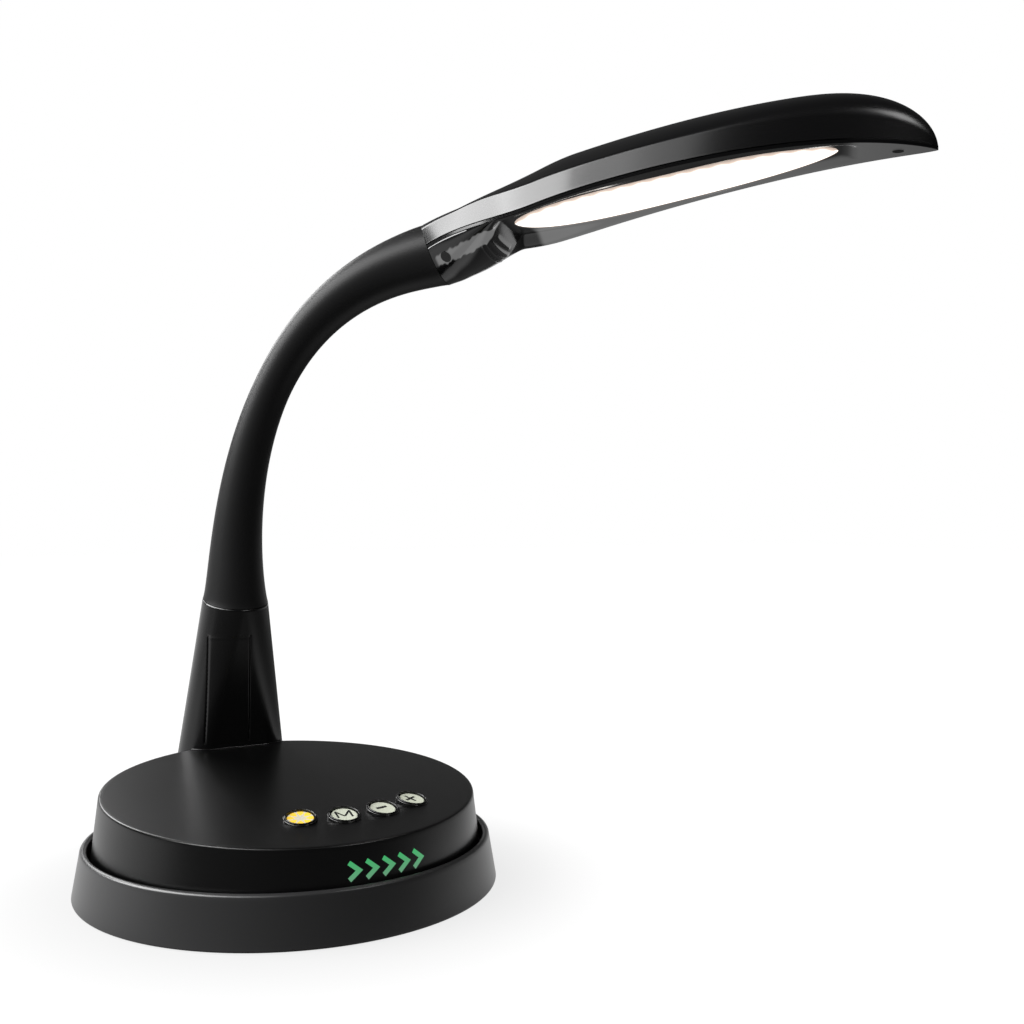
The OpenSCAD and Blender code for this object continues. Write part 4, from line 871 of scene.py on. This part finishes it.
ridge_stations = np.arange(126, 137, 0.16)
panel_s = np.unique(np.concatenate([head_stations(90, 30, 60), ridge_stations, light_stations(60)]))
panel_points, panel_faces, panel_painted_sheen = [], [], []
for side in (1, -1):
    base = len(panel_points)
    for s in panel_s:
        w, g = head_half(s), leaf_half(s, side)
        edge_v = w - min(PANEL_EDGE_LOW, PANEL_EDGE_SHARE * w)
        line = [(w, PANEL_EDGE_H), (w, PANEL_EDGE_LOW), (edge_v, panel_low(s, w))]
        rim_points = len(line)
        inner = min(g, WINDOW_SHARE * w)
        for k in range(1, PANEL_ACROSS + 1):
            v = inner + (w - inner) * math.cos(math.pi / 2 * k / PANEL_ACROSS)
            line.append((v, panel_low(s, v)))
        line.append((inner, panel_low(s, inner) + (WINDOW_WALL if g > 0 else 0.0)))
        panel_points += [head_point(s, side * v, h) for v, h in line]
        panel_painted_sheen += [0.0] * rim_points + [painted_sheen(s, side * v) for v, _ in line[rim_points:]]
    faces = grid_faces(len(panel_s), len(line), False, base)
    panel_faces += faces if side > 0 else [f[::-1] for f in faces]
panel = add_mesh("underside skin", panel_points, panel_faces, panel_black, 40)
# The painted sheen, one value per point, drives the panel's emission
add_values(panel, "painted_sheen", panel_painted_sheen)
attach(panel, "head")
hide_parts("head_panel", "head_screws")

# Screw holes in the underside, drawn as dark discs of painted shade: one on the belly's near flank and one by
# the tip
SCREW_SIDES, SCREW_LIFT, SCREW_PROBE = 40, 0.3, 0.5


def hole_mesh(name, s0, v0, r):
    """A dark disc just proud of the panel, square to it, painting the shade inside a hole."""
    def place(s, v):
        return np.array(head_point(s, v, panel_low(s, v)))

    mid = place(s0, v0)
    ahead, side = place(s0 + SCREW_PROBE, v0) - mid, place(s0, v0 + SCREW_PROBE) - mid
    ahead /= np.linalg.norm(ahead)
    side -= ahead * (side @ ahead)
    side /= np.linalg.norm(side)
    out = np.cross(ahead, side)
    out *= -np.sign(out[2])
    mid = mid + out * SCREW_LIFT
    points = [mid] + [mid + r * (c * ahead + s * side) for c, s in circle(SCREW_SIDES)]
    faces = [(0, 1 + k, 1 + (k + 1) % SCREW_SIDES) for k in range(SCREW_SIDES)]
    hole = add_mesh(name, points, faces, hole_shade_black)
    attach(hole, "head")


hole_mesh("root screw hole", 110.4, -16.2, 2.6)
hole_mesh("tip screw hole", TIP_S - 16, 0, 2.4)

# The lit diffuser, white with a warm scalloped edge on its near side
LIGHT_ROWS, LIGHT_COLS, LEAF_LEAST = 120, 41, 0.05
NEAR_EDGE, NEAR_WAVE, NEAR_RATE, FAR_EDGE = 10, 2, 0.75, 1.5
GLOW_DARK, GLOW_WARM, GLOW_WHITE = (0.10, 0.07, 0.055, 1), (0.30, 0.225, 0.185, 1), (1.0, 0.97, 0.92, 1)
WARM_AT, WHITE_AT, LIGHT_STRENGTH = 0.4, 0.9, 2.2
diffuser = principled("lit diffuser", (0.8, 0.78, 0.72), 0.5, Emission_Strength=LIGHT_STRENGTH)
tree = diffuser.node_tree
attr = tree.nodes.new("ShaderNodeAttribute")
attr.attribute_name = "edge"
ramp = tree.nodes.new("ShaderNodeValToRGB")
ramp.color_ramp.elements[0].color = GLOW_DARK
ramp.color_ramp.elements[1].position = WHITE_AT
ramp.color_ramp.elements[1].color = GLOW_WHITE
ramp.color_ramp.elements.new(WARM_AT).color = GLOW_WARM
tree.links.new(attr.outputs["Fac"], ramp.inputs["Fac"])
tree.links.new(ramp.outputs["Color"], tree.nodes["Principled BSDF"].inputs["Emission Color"])

light_points, light_edge = [], []
light_mid = LIGHT_COLS // 2
for s in light_stations(LIGHT_ROWS):
    near_edge = NEAR_EDGE + NEAR_WAVE * math.sin(NEAR_RATE * s)
    for k in range(LIGHT_COLS):
        g = max(leaf_half(s, k - light_mid), LEAF_LEAST)
        v = g * math.sin(math.pi / 2 * (k / light_mid - 1))
        light_points.append(head_point(s, v, light_h(s)))
        light_edge.append((g - abs(v)) / (near_edge if v < 0 else FAR_EDGE))
light = add_mesh("lit diffuser", light_points, grid_faces(LIGHT_ROWS, LIGHT_COLS, False), diffuser, 60)
add_values(light, "edge", light_edge)
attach(light, "head")
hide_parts("light_diffuser")

# Floor: white to the camera, with a soft shadow round the base that is partly painted, by dimming its glow
# close to the base, and partly real, from its dim colour. Reflections see it dark in front of the lamp
FLOOR_HALF = 4
CONTACT_FROM, CONTACT_TO, CONTACT_SHADE = 0.09, 0.16, 0.82
floor_corners = [(-FLOOR_HALF, -FLOOR_HALF, 0), (FLOOR_HALF, -FLOOR_HALF, 0),
                 (FLOOR_HALF, FLOOR_HALF, 0), (-FLOOR_HALF, FLOOR_HALF, 0)]
floor_mesh = bpy.data.meshes.new("floor")
floor_mesh.from_pydata(floor_corners, [], [(0, 1, 2, 3)])
floor = bpy.data.objects.new("floor", floor_mesh)
scene.collection.objects.link(floor)
floor_mat = principled("pale floor", grey(0.05), 0.9, Specular_IOR_Level=0.0, Emission_Color=(1, 1, 1, 1))
tree = floor_mat.node_tree
place = tree.nodes.new("ShaderNodeTexCoord").outputs["Object"]
camera_ray = tree.nodes.new("ShaderNodeLightPath").outputs["Is Camera Ray"]
away = vector_math(tree, "LENGTH", place)
behind = vector_math(tree, "DOT_PRODUCT", place, from_view(0, 1, 0))
beside = vector_math(tree, "DOT_PRODUCT", place, from_view(1, 0, 0))
# Painted shadow: the glow the camera sees dims close to the base
painted_contact_shadow = map_range(tree, away, (CONTACT_SHADE, 1.0), (CONTACT_FROM, CONTACT_TO))
near = map_range(tree, away, (0.8, 0.06), (0.20, 0.36), soft=True)
left = map_range(tree, beside, (0, 0.85), (-0.10, -0.28), soft=True)
most = math_node(tree, "MAXIMUM", near, left)
past = math_node(tree, "MULTIPLY_ADD", math_node(tree, "ABSOLUTE", beside), 0.4, behind)
shade = map_range(tree, past, (0.02, most), (-0.13, 0.05), soft=True)
glow = map_range(tree, camera_ray, (shade, painted_contact_shadow))
tree.links.new(glow, tree.nodes["Principled BSDF"].inputs["Emission Strength"])
floor_mesh.materials.append(floor_mat)

# Surroundings: white to the camera. Reflections see a pale wall low down at the back
world = bpy.data.worlds.new("studio")
scene.world = world
world.use_nodes = True
tree = world.node_tree
background = tree.nodes["Background"]
background.inputs["Color"].default_value = (1, 1, 1, 1)
direction = tree.nodes.new("ShaderNodeTexCoord").outputs["Generated"]
camera_ray = tree.nodes.new("ShaderNodeLightPath").outputs["Is Camera Ray"]
up = tree.nodes.new("ShaderNodeSeparateXYZ")
tree.links.new(direction, up.inputs[0])
toward = vector_math(tree, "DOT_PRODUCT", direction, from_view(0, 1, 0))
sweep = map_range(tree, up.outputs["Z"], (0.85, 0.07), (0.06, 0.24), soft=True)
wall = map_range(tree, toward, (0.02, sweep), (-0.3, 0.5), soft=True)
tree.links.new(map_range(tree, camera_ray, (wall, 1.0)), background.inputs["Strength"])


def softbox(name, place, target, wide, tall, power):
    light_data = bpy.data.lights.new(name, "AREA")
    light_data.shape = "RECTANGLE"
    light_data.size = wide
    light_data.size_y = tall
    light_data.energy = power
    lamp = bpy.data.objects.new(name, light_data)
    scene.collection.objects.link(lamp)
    lamp.location = from_view(*place)
    lamp.rotation_euler = (from_view(*target) - from_view(*place)).to_track_quat("-Z", "Y").to_euler()
    return lamp


# Softboxes, in metres and watts
HEAD_AIM, BASE_AIM, NOSE_AIM = (0.1, 0, 0.28), (0.1, 0, 0.2), (0.25, 0.05, 0.3)
left_box = softbox("left softbox", (-1.14, 0.12, 0.97), HEAD_AIM, 1.1, 0.80, 38.4)
softbox("back left softbox", (-0.57, 0.99, 0.80), BASE_AIM, 0.65, 0.5, 7)
softbox("front left softbox", (-0.93, -0.64, 1.13), HEAD_AIM, 0.66, 0.7, 18)
softbox("front left edge", (-0.585, -0.985, 1.15), HEAD_AIM, 0.20, 0.7, 1.8)
softbox("front edge", (-0.388, -1.096, 1.15), HEAD_AIM, 0.33, 0.7, 1.8)
softbox("high right softbox", (0.75, -0.7, 1.0), NOSE_AIM, 0.3, 0.3, 2)

# The left softbox is flagged off the drum, whose flat top would mirror it to the right
flagged = bpy.data.collections.new("flagged")
flagged.objects.link(drum)
flagged.collection_objects[0].light_linking.link_state = "EXCLUDE"
left_box.light_linking.receiver_collection = flagged
